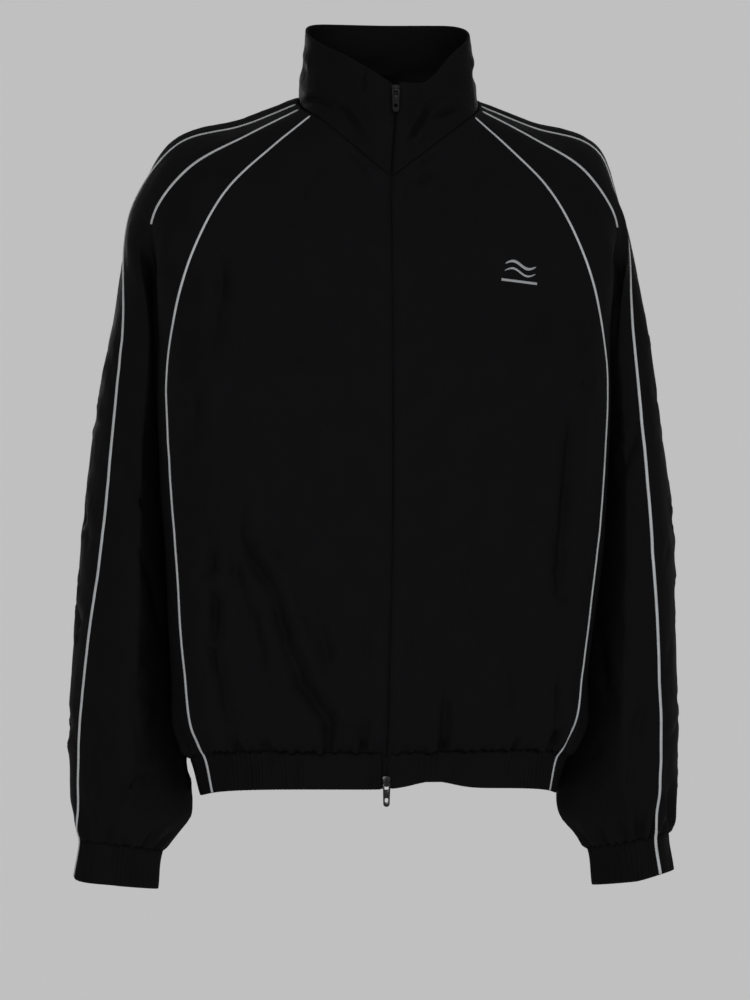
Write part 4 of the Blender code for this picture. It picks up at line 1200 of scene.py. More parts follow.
@dataclass(frozen=True)
class ReflectiveTape:
    """Polyester tape with glass beads in its face: an even light grey with a very fine glittering grain."""

    name: str = "reflective_tape_grey"
    dark: str = "#a9abae"
    light: str = "#c9cbcd"
    bead_mm: float = 0.5  # the real beads are 0.05 mm

    def build(self) -> bpy.types.Material:
        """The material.

        Returns:
            The finished material.
        """
        made, tree = empty_material(self.name)
        scaled = in_millimetres(tree, add_node(tree, "ShaderNodeTexCoord").outputs["Object"])
        beads = add_node(tree, "ShaderNodeTexVoronoi", inputs={
            "Vector": scaled.outputs[0], "Scale": 1 / self.bead_mm})
        wear = add_node(tree, "ShaderNodeTexNoise", inputs={"Vector": scaled.outputs[0], "Scale": 0.08, "Detail": 4.0})
        bump = add_node(tree, "ShaderNodeBump", inputs={
            "Strength": 0.3, "Distance": 0.0001, "Height": beads.outputs["Distance"]})
        shaded(tree, {
            "Base Color": two_tone(tree, wear.outputs["Fac"], self.dark, self.light), "Metallic": 0.15,
            "Roughness": 0.42, "Normal": bump.outputs[0],
        })
        return made


@dataclass(frozen=True)
class WovenTape:
    """Polyester zip tape, woven in a herringbone and dyed black: matt, with fine ribs across it."""

    name: str = "polyester_zip_tape_black"
    dark: str = "#08080a"
    light: str = "#121317"
    rib_mm: float = 0.9

    def build(self) -> bpy.types.Material:
        """The material.

        Returns:
            The finished material.
        """
        made, tree = empty_material(self.name)
        scaled = in_millimetres(tree, add_node(tree, "ShaderNodeTexCoord").outputs["Object"])
        ribs = add_node(tree, "ShaderNodeTexWave", {"bands_direction": "Z"}, {
            "Vector": scaled.outputs[0], "Scale": WAVE_BAND / self.rib_mm, "Distortion": 1.2, "Detail": 1.0})
        bump = add_node(tree, "ShaderNodeBump", inputs={
            "Strength": 0.6, "Distance": 0.0002, "Height": ribs.outputs["Fac"]})
        shaded(tree, {
            "Base Color": two_tone(tree, ribs.outputs["Fac"], self.dark, self.light), "Roughness": 0.8,
            "Specular IOR Level": 0.15, "Normal": bump.outputs[0],
        })
        return made


@dataclass(frozen=True)
class Moulded:
    """A moulded or die-cast small part: its colour wears lighter in places, and its skin has a faint grain."""

    name: str
    dark: str
    light: str
    roughness: float
    metallic: float = 0.0
    coat: float = 0.0

    def build(self) -> bpy.types.Material:
        """The material.

        Returns:
            The finished material.
        """
        made, tree = empty_material(self.name)
        scaled = in_millimetres(tree, add_node(tree, "ShaderNodeTexCoord").outputs["Object"])
        grain = add_node(tree, "ShaderNodeTexNoise", inputs={"Vector": scaled.outputs[0], "Scale": 1.4, "Detail": 5.0})
        bump = add_node(tree, "ShaderNodeBump", inputs={
            "Strength": 0.25, "Distance": 0.00008, "Height": grain.outputs["Fac"]})
        shaded(tree, {
            "Base Color": two_tone(tree, grain.outputs["Fac"], self.dark, self.light),
            "Metallic": self.metallic, "Roughness": self.roughness, "Coat Weight": self.coat,
            "Specular IOR Level": 0.25,
            "Normal": bump.outputs[0],
        })
        return made


Finish = CrinkledNylon | ReflectiveTape | WovenTape | Moulded
# The collar is cut from the shell's cloth; its copy of that cloth is painted a little darker, as painted shade for the
# collar standing upright.
SHELL_NYLON = CrinkledNylon()
COLLAR_NYLON_PAINTED_SHADE = CrinkledNylon("crinkled_nylon_black_collar", "#0a0a0c", "#121213")
PIPING_TAPE = ReflectiveTape()
ZIP_TAPE = WovenTape()
# Acetal coil: a satin plastic, a little greyer than the tape that it is sewn to.
COIL_ACETAL = Moulded("acetal_coil_black", "#0a0a0c", "#17181b", 0.38)
# Die-cast zinc with a black enamel: a deep gloss that catches the light along its edges.
SLIDER_ENAMEL = Moulded("enamelled_zinc_black", "#0a0a0b", "#131416", 0.30, 0.1, 0.25)
PULL_ENAMEL = Moulded("enamelled_zinc_black_pull", "#0b0b0c", "#151618", 0.32, 0.1, 0.2)
# Polyester thread: matt, and a shade darker than the cloth.
THREAD = Moulded("polyester_thread_black", "#050506", "#09090a", 0.70)
# Reflective transfer film, pressed on the cloth: an even grey.
PRINT_FILM = Moulded("reflective_transfer_grey", "#9a9c9f", "#a9abae", 0.5)


@dataclass
class Dresser:
    """Gives each piece its finish and its body, and hides the CAD nodes that it stands for."""

    made: dict[str, bpy.types.Material] = field(default_factory=dict)

    def dress(self, piece: bpy.types.Object, finish: Finish, slot: str, *nodes: str,
              body: str = JACKET) -> None:
        """Finishes a piece.

        Args:
            piece: The piece.
            finish: Its finish.
            slot: The record's material slot; not used.
            nodes: The CAD nodes that it stands for.
            body: The CAD body that it rides on.
        """
        if finish.name not in self.made:
            self.made[finish.name] = finish.build()
        piece.data.materials.clear()
        piece.data.materials.append(self.made[finish.name])
        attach(piece, body)
        if nodes:
            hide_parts(*nodes)
        LOG.info("%s: %d faces, %s", piece.name, len(piece.data.polygons), finish.name)


# ---------------------------------------------------------------- cloth pieces


@dataclass
class Shell:
    """The cloth of the body and the sleeves: its surfaces with their folds, and the panels cut from them."""

    pitch: float = 0.0027
    row_pitch: float = 0.0038
    wall: float = 0.0006
    fold_strength: float = 1.7
    arm_fold_strength: float = 1.15
    body: dict[Side | None, Surface] = field(default_factory=dict)
    arms: dict[Side, Surface] = field(default_factory=dict)
    hem_places: dict[Side | None, np.ndarray] = field(default_factory=dict)

    def __post_init__(self) -> None:
        """Settles where the columns lie."""
        pitch = self.pitch
        self.front_shares = (
            column_shares(0.205, pitch, "start end"), column_shares(0.026, pitch, "start"),
            column_shares(0.075, pitch, "end"),
        )
        self.back_shares = (
            column_shares(0.062, pitch, "start"), column_shares(0.028, pitch), column_shares(0.185, pitch),
        )
        self.sleeve_shares = (
            column_shares(0.075, pitch, "start"), column_shares(0.032, pitch, "end"),
            column_shares(0.062, pitch, "start"), column_shares(0.095, pitch), column_shares(0.075, pitch, "end"),
        )
        self.seam = len(self.front_shares[0])
        self.overarm = sum(map(len, self.sleeve_shares[:2]))
        self.levels = row_levels(FRONT_SEAM, TORSO_BAND, self.row_pitch)
        self.arm_levels = row_levels(OVERARM_SEAM, SLEEVE_BAND, self.row_pitch)

    def lay(self) -> None:
        """Lays the cloth on its form and presses every fold into it."""
        low = self.levels > UNDERARM
        for side in Side:
            points = worn(torso_front(self.levels, self.front_shares), side)
            self.body[side] = Surface(points, self.body_freedom(points, side))
        halves = [worn(torso_back(self.levels, self.back_shares), side) for side in Side]
        points = joined(*halves)
        self.body[None] = Surface(points, self.body_freedom(points, None))
        under = slice(int(np.argmax(low)), None)
        welded(self.body[Side.LEFT], -1, self.body[None], 0, under)
        welded(self.body[Side.RIGHT], 0, self.body[None], -1, under)
        for side in Side:
            points = worn(sleeve(self.arm_levels, self.sleeve_shares, side), side)
            self.arms[side] = Surface(points, self.arm_freedom(points))
            below = slice(int(np.argmax(self.arm_levels > UNDERARM)), None)
            welded(self.arms[side], 0, self.arms[side], -1, below)
        self.fold()
        LOG.info("cloth laid: %d rows on the body, %d on an arm", len(self.levels), len(self.arm_levels))

    def body_freedom(self, points: Grid, side: Side | None) -> np.ndarray:
        """How freely the body's cloth moves: held by the zip, by the armholes and a little by piped seams.

        Args:
            points: The cloth's points.
            side: The front's side, or None for the back.

        Returns:
            A share from 0 to 1 for each point.
        """
        across = travelled(points, 1)
        ends = (across, across[:, -1:] - across)
        above = (self.levels <= UNDERARM + 0.3)[:, None]
        free = np.ones(points.shape[:2])
        for index, gone in enumerate(ends):
            at_zip = side is not None and (index == 0) == (side is Side.LEFT)
            if at_zip:
                free *= 0.12 + 0.88 * ease((gone - 0.004) / 0.022)
            else:
                free *= np.where(above, ease(gone / ARMHOLE_REACH), 1.0)
        if side is not None:
            free *= self.beside_piping(across, column_on(side, self.seam, points))
        free *= ease(travelled(points, 0) / 0.008)
        return free

    @staticmethod
    def beside_piping(across: np.ndarray, column: int) -> np.ndarray:
        """How freely the cloth moves by its distance from a piped seam."""
        return 0.75 + 0.25 * ease(np.abs(across - across[:, column][:, None]) / PIPED_REACH)

    def arm_freedom(self, points: Grid) -> np.ndarray:
        """How freely a sleeve's cloth moves: held by the armhole and a little by its piped seam.

        Args:
            points: The cloth's points.

        Returns:
            A share from 0 to 1 for each point.
        """
        across = travelled(points, 1)
        side = Side.RIGHT if points[0, 0, 0] < 0 else Side.LEFT
        above = (self.arm_levels <= UNDERARM + 0.3)[:, None]
        ends = ease(across / ARMHOLE_REACH) * ease((across[:, -1:] - across) / ARMHOLE_REACH)
        free = np.where(above, ends, 1.0)
        free *= self.beside_piping(across, column_on(side, self.overarm, points))
        return free * ease(travelled(points, 0) / 0.014)

    def fold(self) -> None:
        """Presses the creases, the crumple and the gathers in."""
        body, arms = list(self.body.values()), list(self.arms.values())
        for surfaces, creases, fields, strength in (
            (body, BODY_CREASES, BODY_FIELDS, self.fold_strength),
            (arms, ARM_CREASES, ARM_FIELDS, self.arm_fold_strength),
        ):
            for crease in [*creases, *(made for strewn in fields for made in strewn.creases())]:
                pressed_in(crease, surfaces, strength)
        crumple = Crumple()
        for surface in body + arms:
            crumple.press(surface)
        self.gather_hem()
        self.gather_cuffs()

    def gather_hem(self) -> None:
        """Gathers the body above its hem, in one run from the zip round the back to the zip."""
        start = 0.0
        order = (Side.LEFT, None, Side.RIGHT)
        for key in order:
            places = travelled(self.body[key].points[-1:], 1)[0]
            self.hem_places[key] = start + places
            start += places[-1]
        length = start
        puckers = [
            pucker for pucker in strewn_puckers(length, (0.010, 0.022), (0.012, 0.052), (0.0016, 0.0044), 31)
            if 0.19 < pucker.place < length - 0.19
        ]
        for x, height, depth in FRONT_PUCKERS:
            side = Side.LEFT if x > 0 else Side.RIGHT
            edge = self.body[side].points[-1, :, 0]
            place = float(np.interp(x, edge, self.hem_places[side]))
            puckers.append(Pucker(place, 0.0028, height, depth, 0.05))
        small = strewn_puckers(length, (0.006, 0.012), (0.007, 0.018), (0.0012, 0.0030), 32)
        for key in order:
            surface = self.body[key]
            down = travelled(surface.points, 0)
            gathered(surface, self.hem_places[key], down[-1:] - down, [*puckers, *small])

    def gather_cuffs(self) -> None:
        """Gathers each sleeve above its cuff, all the way round."""
        for side, surface in self.arms.items():
            places = travelled(surface.points[-1:], 1)[0]
            length = float(places[-1])
            seed = 41 if side is Side.LEFT else 43
            puckers = strewn_puckers(length, (0.012, 0.024), (0.016, 0.055), (0.0022, 0.0056), seed)
            small = strewn_puckers(length, (0.006, 0.011), (0.006, 0.014), (0.0010, 0.0024), seed + 1)
            down = travelled(surface.points, 0)
            gathered(surface, places, down[-1:] - down, [*puckers, *small], length, 0.0018)

    def cut(self, dresser: Dresser) -> None:
        """Cuts the settled cloth into its panels.

        Args:
            dresser: Finishes the pieces.
        """
        for side in Side:
            points, normals = self.body[side].settled(), self.body[side].normals
            left = side is Side.LEFT
            column = column_on(side, self.seam, points)
            fronts = slice(0, column + 1) if left else slice(column, None)
            sides = slice(column, None) if left else slice(0, column + 1)
            self.panel(dresser, f"front_{side.word}", points[:, fronts], normals[:, fronts], True)
            self.panel(dresser, f"side_front_{side.word}", points[:, sides], normals[:, sides])
            points, normals = self.arms[side].settled(), self.arms[side].normals
            column = column_on(side, self.overarm, points)
            fronts = slice(0, column + 1) if left else slice(column, None)
            backs = slice(column, None) if left else slice(0, column + 1)
            self.panel(dresser, f"sleeve_front_{side.word}", points[:, fronts], normals[:, fronts])
            self.panel(dresser, f"sleeve_back_{side.word}", points[:, backs], normals[:, backs])
        self.panel(dresser, "back", self.body[None].settled(), self.body[None].normals)

    def panel(self, dresser: Dresser, name: str, points: Grid, normals: Grid, zipped: bool = False) -> None:
        """Makes one panel, its edges turned in to its seams and its front edge folded to the zip.

        Args:
            dresser: Finishes the piece.
            name: The panel's name, which is also its CAD node's.
            points: The cloth's points.
            normals: The way out at each point.
            zipped: Whether it has an edge at the zip.
        """
        made = rolled(points, normals, "first last top bottom")
        if zipped:
            made = self.folded_edge(made, normals, at_first=name.endswith("left"))
        piece = cloth_sheet(f"panel_{name}", made, self.wall)
        dresser.dress(piece, SHELL_NYLON, "shell_cloth", name)

    @staticmethod
    def folded_edge(points: Grid, normals: Grid, at_first: bool) -> Grid:
        """The front with its edge carried on towards the zip and folded under.

        Args:
            points: The cloth's points.
            normals: The way out at each point.
            at_first: Whether the edge is its first column.

        Returns:
            The points with four more columns.
        """
        edge, inner = (0, 1) if at_first else (-1, -2)
        way = unit(points[:, edge] - points[:, inner])
        out = normals[:, edge]
        steps = ((0.0008, 0.0000), (0.0014, 0.0003), (0.0017, 0.0008), (0.0013, 0.0015))
        extra = [points[:, edge] + way * ahead - out * under for ahead, under in steps]
        extra = np.stack(extra[::-1] if at_first else extra, axis=1)
        return np.concatenate([extra, points] if at_first else [points, extra], axis=1)


@dataclass
class ElasticBands:
    """The hem and the cuffs: cloth folded up over an elastic, in fine upright ribs."""

    pitch: float = 0.00078
    wall: float = 0.0005
    gap: float = 0.0022
    lift: float = 0.0072  # how far the middle of the left front's hem is drawn up
    seams: dict[str, np.ndarray] = field(default_factory=dict)

    def build(self, dresser: Dresser) -> None:
        """Makes the hem band and both cuff bands.

        Args:
            dresser: Finishes the pieces.
        """
        shares = [column_shares(length, self.pitch) for length in (0.175, 0.022, 0.052)]
        back = [column_shares(length, self.pitch) for length in (0.055, 0.022, 0.160)]
        levels = np.linspace(TORSO_BAND - 0.06, TORSO_END, 14)
        fronts = {side: worn(torso_front(levels, shares), side) for side in Side}
        backs = [worn(torso_back(levels, back), side) for side in Side]
        ring = self.drawn_up(joined(fronts[Side.LEFT], *backs, fronts[Side.RIGHT]))
        for side in Side:
            self.seams[f"hem_{side.word}"] = ring[:, column_on(side, len(shares[0]), ring)]
        self.band(dresser, "hem_band", ring, 51, False, "hem_casing")
        for side in Side:
            levels = np.linspace(SLEEVE_BAND - 0.06, SLEEVE_END, 14)
            shares = [column_shares(length, self.pitch) for length in (0.042, 0.026, 0.026, 0.048, 0.042)]
            ring = worn(sleeve(levels, shares, side), side)
            seam = column_on(side, len(shares[0]) + len(shares[1]), ring)
            self.seams[f"cuff_{side.word}"] = ring[:, seam]
            seed = 61 if side is Side.LEFT else 62
            self.band(dresser, f"cuff_band_{side.word}", ring, seed, True, f"cuff_casing_{side.word}")

    def drawn_up(self, ring: Grid) -> Grid:
        """The hem with the left front's lower edge drawn up a little, as it hangs.

        Args:
            ring: The hem band's outer form.

        Returns:
            The new form.
        """
        made = ring.copy()
        down = travelled(ring, 0)
        share = down / down[-1:]
        front = ring[..., 1] < 0
        rise = self.lift * bell((ring[..., 0] - 0.042) / 0.027) * front
        made[..., 2] += rise * share
        return made

    def band(self, dresser: Dresser, name: str, ring: Grid, seed: int, closed: bool, node: str) -> None:
        """Makes one band: ribbed outer layer, folded edge and inner layer.

        Args:
            dresser: Finishes the piece.
            name: The piece's name.
            ring: The band's outer form.
            seed: For its ribs.
            closed: Whether it goes all the way round.
            node: The CAD node that it stands for.
        """
        normals = outward(ring)
        if closed:
            mean = unit(normals[:, 0] + normals[:, -1])
            normals[:, 0], normals[:, -1] = mean, mean
        places = travelled(ring[:1], 1)[0]
        length = float(places[-1])
        down = travelled(ring, 0)
        share = down / down[-1:]
        out = fluting(places, share.mean(axis=1), length, seed, closed)
        out -= 0.0032 * bell(down / 0.0022)
        outer = ring + normals * out[..., None]
        outer[-1] += np.array((0.0, 0.0, 0.0003))
        ends = np.minimum(places, length - places)
        pinch = None if closed else 0.35 + 0.65 * ease(ends / 0.006)
        points = turned_over(outer, normals, self.gap, 5, 12, pinch)
        piece = cloth_sheet(name, points, self.wall, closed)
        dresser.dress(piece, SHELL_NYLON, "shell_cloth", node)


@dataclass
class Collar:
    """The stand collar: two layers with a rounded top edge, open at the zip."""

    pitch: float = 0.0024
    wall: float = 0.0006
    gap: float = 0.0026
    dip: float = 0.0155
    outer: Grid | None = None
    normals: Grid | None = None

    def build(self, dresser: Dresser) -> None:
        """Makes the collar.

        Args:
            dresser: Finishes the piece.
        """
        levels = np.array(sorted({*np.linspace(0, 2, 34), 0.012, 0.03, 0.05}))
        lengths_round = (0.115, *(0.016,) * 9, 0.07)
        shares = [column_shares(length, self.pitch, "start" if index == 0 else "")
                  for index, length in enumerate(lengths_round)]
        halves = [worn(stand_collar(levels[::-1], shares), side) for side in Side]
        whole = self.dipped(joined(*halves), levels[::-1] / 2)
        across, down = travelled(whole, 1), travelled(whole, 0)
        ends = np.minimum(across, across[:, -1:] - across)
        free = (0.1 + 0.9 * ease((ends - 0.003) / 0.016)) * ease((down[-1:] - down) / 0.010)
        free *= 0.25 + 0.75 * ease(down / 0.012)
        surface = Surface(whole, free)
        for crease in COLLAR_CREASES:
            pressed_in(crease, [surface], 1.9)
        Crumple(0.0007, 0.04, 0.00025, 0.011, 1.0).press(surface, 3.0)
        self.outer, self.normals = surface.settled(), surface.normals
        sunk = rolled(self.outer, self.normals, "bottom first last", 0.0007)
        sunk -= self.normals * 0.00035 * bell(((down[-1:] - down) - 0.0045) / 0.0008)[..., None]
        pinch = 0.3 + 0.7 * ease(ends[len(ends) // 2] / 0.007)
        sunk, way = self.to_zip(sunk, self.normals)
        pinch = np.concatenate([pinch[:1].repeat(2), pinch, pinch[-1:].repeat(2)])
        points = turned_over(sunk[::-1], way[::-1], self.gap, 6, 0, pinch)
        piece = cloth_sheet("stand_collar", points[:, ::-1], self.wall)
        # The collar's cloth is the shell's nylon, painted darker as painted shade.
        dresser.dress(piece, COLLAR_NYLON_PAINTED_SHADE, "collar_cloth", "collar")

    def dipped(self, points: Grid, share: np.ndarray) -> Grid:
        """The collar with the wearer's left front of its rim sunk, as it slumps beside the zip.

        Args:
            points: The cloth's points.
            share: How far up the collar each row is, from 0 to 1.

        Returns:
            The new points.
        """
        made = points.copy()
        x = points[..., 0]
        sunk = self.dip * bell((x - 0.041) / 0.021) * ease((x - 0.0097) / 0.012)
        made[..., 2] -= sunk * (points[..., 1] < 0) * (share**2)[:, None]
        return made

    @staticmethod
    def to_zip(points: Grid, normals: Grid) -> tuple[Grid, Grid]:
        """The collar with both ends carried on to the zip.

        Args:
            points: The cloth's points.
            normals: The way out at each point.

        Returns:
            The longer rows of points, and the way out at each.
        """
        first, last = unit(points[:, :1] - points[:, 1:2]), unit(points[:, -1:] - points[:, -2:-1])
        steps = ((0.0009, 0.0001), (0.0016, 0.0006))
        before = [points[:, :1] + first * ahead - normals[:, :1] * under for ahead, under in reversed(steps)]
        after = [points[:, -1:] + last * ahead - normals[:, -1:] * under for ahead, under in steps]
        ways = [normals[:, :1], normals[:, :1], normals, normals[:, -1:], normals[:, -1:]]
        return np.concatenate([*before, points, *after], axis=1), np.concatenate(ways, axis=1)


@dataclass
class Piping:
    """The reflective piping: a flattened cord in each piped seam, from the neck to the hem or the cuff."""

    half_width: float = 0.0016
    height: float = 0.0008
    sink: float = 0.0002
    corners: int = 12

    def build(self, dresser: Dresser, shell: Shell, bands: ElasticBands) -> None:
        """Makes the piping on the front, armhole and overarm seams.

        Args:
            dresser: Finishes the pieces.
            shell: The cloth of the body and the sleeves.
            bands: The finished hem and cuffs.
        """
        armpit = int(np.argmax(shell.levels >= ARMPIT)) + 4
        for side in Side:
            body, arm = shell.body[side], shell.arms[side]
            seam = column_on(side, shell.seam, body.points)
            overarm = column_on(side, shell.overarm, arm.points)
            edge = -1 if side is Side.LEFT else 0
            runs = {
                "front": (body, seam, None, bands.seams[f"hem_{side.word}"]),
                "armhole": (body, edge, armpit, None),
                "overarm": (arm, overarm, None, bands.seams[f"cuff_{side.word}"]),
            }
            for name, (surface, column, last, below) in runs.items():
                self.cord(dresser, f"{name}_{side.word}", surface, column, last, below)

    def cord(self, dresser: Dresser, name: str, surface: Surface, column: int, last: int | None,
             below: np.ndarray | None) -> None:
        """Makes one run of piping.

        Args:
            dresser: Finishes the piece.
            name: The seam and its side.
            surface: The cloth that the seam is in.
            column: The seam's column.
            last: The row that the run ends at, or None for the whole seam.
            below: The seam's points on the band below, or None.
        """
        points, normals = surface.settled(), surface.normals
        line, out = points[2:last, column], normals[2:last, column]
        if below is not None:
            line = np.concatenate([line[:-1], below[2:]])
            out = np.concatenate([out[:-1], np.repeat(out[-1:], len(below) - 2, axis=0)])
        smooth = smoothed(line, 2)
        way = unit(np.gradient(smooth, axis=0))
        across = unit(np.cross(out, way))
        out = np.cross(way, across)
        turns = np.linspace(0, 2 * math.pi, self.corners + 1)
        flat = np.sign(np.sin(turns)) * np.abs(np.sin(turns)) ** 0.7
        # The cord shows less of itself near the neck, where the seam is pulled tight.
        width = self.half_width * (0.66 + 0.34 * ease(np.linspace(0, 1.6, len(smooth))))[:, None]
        ring = [smooth + across * width * math.cos(turn) + out * (self.height * rise + self.sink)
                for turn, rise in zip(turns, flat)]
        rows = np.stack(ring, axis=1)
        rows[0] = rows[0].mean(0) + (rows[0] - rows[0].mean(0)) * 0.6
        made = tube(f"piping_{name}_cord", rows)
        dresser.dress(made, PIPING_TAPE, "reflective_piping", f"piping_{name}")


def tube(name: str, rows: Grid) -> bpy.types.Object:
    """A closed tube through rings of points whose last point meets the first, with both ends capped.

    Args:
        name: The piece's name.
        rows: The rings' points.

    Returns:
        The piece.
    """
    count, columns = rows.shape[:2]
    shape = bmesh.new()
    bmesh.ops.create_grid(shape, x_segments=columns - 1, y_segments=count - 1, size=1)
    for vertex in shape.verts:
        column = round((vertex.co.x + 1) / 2 * (columns - 1))
        row = round((1 - vertex.co.y) / 2 * (count - 1))
        vertex.co = rows[row, column]
    bmesh.ops.remove_doubles(shape, verts=shape.verts, dist=1e-6)
    bmesh.ops.holes_fill(shape, edges=shape.edges, sides=columns + 2)
    bmesh.ops.recalc_face_normals(shape, faces=shape.faces)
    return from_bmesh(name, shape)


# ---------------------------------------------------------------- zip


@dataclass
class ZipLine:
    """The line of the zip on the face of the cloth, from the top of the collar to the hem."""

    points: np.ndarray
    out: np.ndarray

    @classmethod
    def of(cls, collar: Collar, shell: Shell) -> "ZipLine":
        """The line midway between the two fronts' edges.

        Args:
            collar: The finished collar.
            shell: The cloth of the body and the sleeves.

        Returns:
            The line.
        """
        above = (collar.outer[:-1, 0] + collar.outer[:-1, -1]) / 2
        fronts = [shell.body[side].points[:, 0 if side is Side.LEFT else -1] for side in Side]
        levels = np.linspace(TORSO_BAND, TORSO_END, 12)[1:]
        shares = [np.array([1.0])] * 3
        ends = [worn(torso_front(levels, shares), side)[:, 0 if side is Side.LEFT else -1] for side in Side]
        line = np.concatenate([above, (fronts[0] + fronts[1]) / 2, (ends[0] + ends[1]) / 2])
        line = smoothed(line, 3)
        way = unit(np.gradient(line, axis=0))
        out = unit(np.cross(way, np.tile((1.0, 0.0, 0.0), (len(way), 1))))
        return cls(line, out)

    def strip(self, top: float, bottom: float, pitch: float) -> tuple[np.ndarray, np.ndarray, np.ndarray]:
        """Even places on the line between two distances from its ends: points, ways out and ways along.

        Args:
            top: How far below its top the first place is.
            bottom: How far above its end the last one may be.
            pitch: The distance between two.

        Returns:
            The points, the ways out and the ways along.
        """
        gone = travelled(self.points[:, None], 0)[:, 0]
        places = np.arange(top, gone[-1] - bottom, pitch)
        points, out = placed(self.points, gone, places), placed(self.out, gone, places)
        return points, unit(out), unit(np.gradient(points, axis=0))


@dataclass
class ZipFastener:
    """The two tapes behind the fronts' edges and the reversed coil behind them."""

    tape_depth: float = 0.0017
    tape_wall: float = 0.0006
    tape_edge: float = 0.0003
    tape_width: float = 0.0112
    tooth_pitch: float = 0.0015
    top: float = 0.0020
    bottom: float = 0.0015

    def build(self, dresser: Dresser, line: ZipLine) -> None:
        """Makes the tapes and the coil.

        Args:
            dresser: Finishes the pieces.
            line: The line of the zip.
        """
        points, out, _ = line.strip(self.top, self.bottom, 0.004)
        aside = np.tile((1.0, 0.0, 0.0), (len(points), 1))
        for side in Side:
            steps = ((self.tape_edge, 0.0007), (0.0009, 0.0), (0.0022, 0.0), (0.0050, 0.0003), (0.0080, 0.0006),
                     (self.tape_width, 0.0009))
            columns = [points + aside * side.value * far - out * (self.tape_depth + deep) for far, deep in steps]
            rows = np.stack(columns if side is Side.LEFT else columns[::-1], axis=1)
            piece = cloth_sheet(f"tape_{side.word}", rows, self.tape_wall)
            dresser.dress(piece, ZIP_TAPE, "zip_tape", f"zip_tape_{side.word}")
        dresser.dress(self.coil(line), COIL_ACETAL, "zip_coil", "zip_coil")

    def coil(self, line: ZipLine) -> bpy.types.Object:
        """The coil as its turns, which lock together from the two sides.

        Args:
            line: The line of the zip.

        Returns:
            The piece.
        """
        points, out, way = line.strip(0.0125, 0.0120, self.tooth_pitch)
        shape = bmesh.new()
        for index, (here, off, along) in enumerate(zip(points, out, way)):
            aside = 1 if index % 2 else -1
            right = np.cross(along, off)
            turn = Matrix((Vector(right), Vector(off), Vector(along))).transposed().to_4x4()
            middle = here - off * (self.tape_depth + self.tape_wall + 0.0014) + right * aside * 0.0007
            place = Matrix.Translation(middle) @ turn
            bmesh.ops.create_icosphere(
                shape, subdivisions=2, radius=1, matrix=place @ Matrix.Diagonal((0.0021, 0.0007, 0.00052, 1)))
        return from_bmesh("coil", shape)


@dataclass(frozen=True)
class ZipMount:
    """A place on the zip, with its X across, its Y into the cloth and its Z up the zip."""

    origin: Vector
    turn: Matrix

    @classmethod
    def at(cls, upper: np.ndarray, lower: np.ndarray, height: float) -> "ZipMount":
        """The place at a height between two points of the zip.

        Args:
            upper: The upper point.
            lower: The lower point.
            height: The height of the place.

        Returns:
            The place.
        """
        high, low = Vector(upper), Vector(lower)
        up = (high - low).normalized()
        aside = Vector((1, 0, 0))
        aside = (aside - up * aside.dot(up)).normalized()
        share = (high.z - height) / (high.z - low.z)
        return cls(high.lerp(low, share), Matrix((aside, up.cross(aside), up)).transposed())

    @property
    def matrix(self) -> Matrix:
        """From the mount's own frame to the jacket's."""
        return Matrix.Translation(self.origin) @ self.turn.to_4x4()


def bevelled(shape: bmesh.types.BMesh, width: float, segments: int = 3) -> None:
    """Rounds every edge of a shape that has a corner of more than 25 degrees.

    Args:
        shape: The shape.
        width: How wide the rounding is.
        segments: How many steps it has.
    """
    sharp = [edge for edge in shape.edges if edge.is_manifold and edge.calc_face_angle(0) > math.radians(25)]
    bmesh.ops.bevel(shape, geom=sharp, offset=width, segments=segments, profile=0.5, affect="EDGES", material=-1,
                    clamp_overlap=True)


def plate(shape: bmesh.types.BMesh, outline: Sequence[tuple[float, float]], front: float, wall: float) -> None:
    """Adds a plate to a shape: an outline in x and z, from a depth back by its wall.

    Args:
        shape: The shape that it is added to.
        outline: Its corners in order.
        front: Its front face's depth.
        wall: How thick it is.
    """
    corners = [shape.verts.new((x, front, z)) for x, z in outline]
    face = shape.faces.new(corners)
    made = bmesh.ops.extrude_face_region(shape, geom=[face])
    moved = [item for item in made["geom"] if isinstance(item, bmesh.types.BMVert)]
    bmesh.ops.translate(shape, vec=(0, wall, 0), verts=moved)


def rounded_outline(
    top: float, bottom: float, high: float, low: float, steps: int = 6, round_top: float = 0.35
) -> list[tuple[float, float]]:
    """An upright outline with rounded ends.

    Args:
        top: Half its width near the top.
        bottom: Half its width near the bottom.
        high: Its highest place.
        low: Its lowest place.
        steps: How many corners each end's half has.
        round_top: How much of the top's half width is its height of rounding.

    Returns:
        Its corners in order.
    """
    turns = [math.pi / 2 * index / steps for index in range(steps + 1)]
    half = [(top * math.sin(turn), high - top * round_top * (1 - math.cos(turn))) for turn in turns[1:]]
    half += [(bottom * math.cos(turn), low + bottom * 0.9 * (1 - math.sin(turn))) for turn in turns[:-1]]
    return [(0.0, high), *half, (0.0, low), *((-x, z) for x, z in reversed(half))]


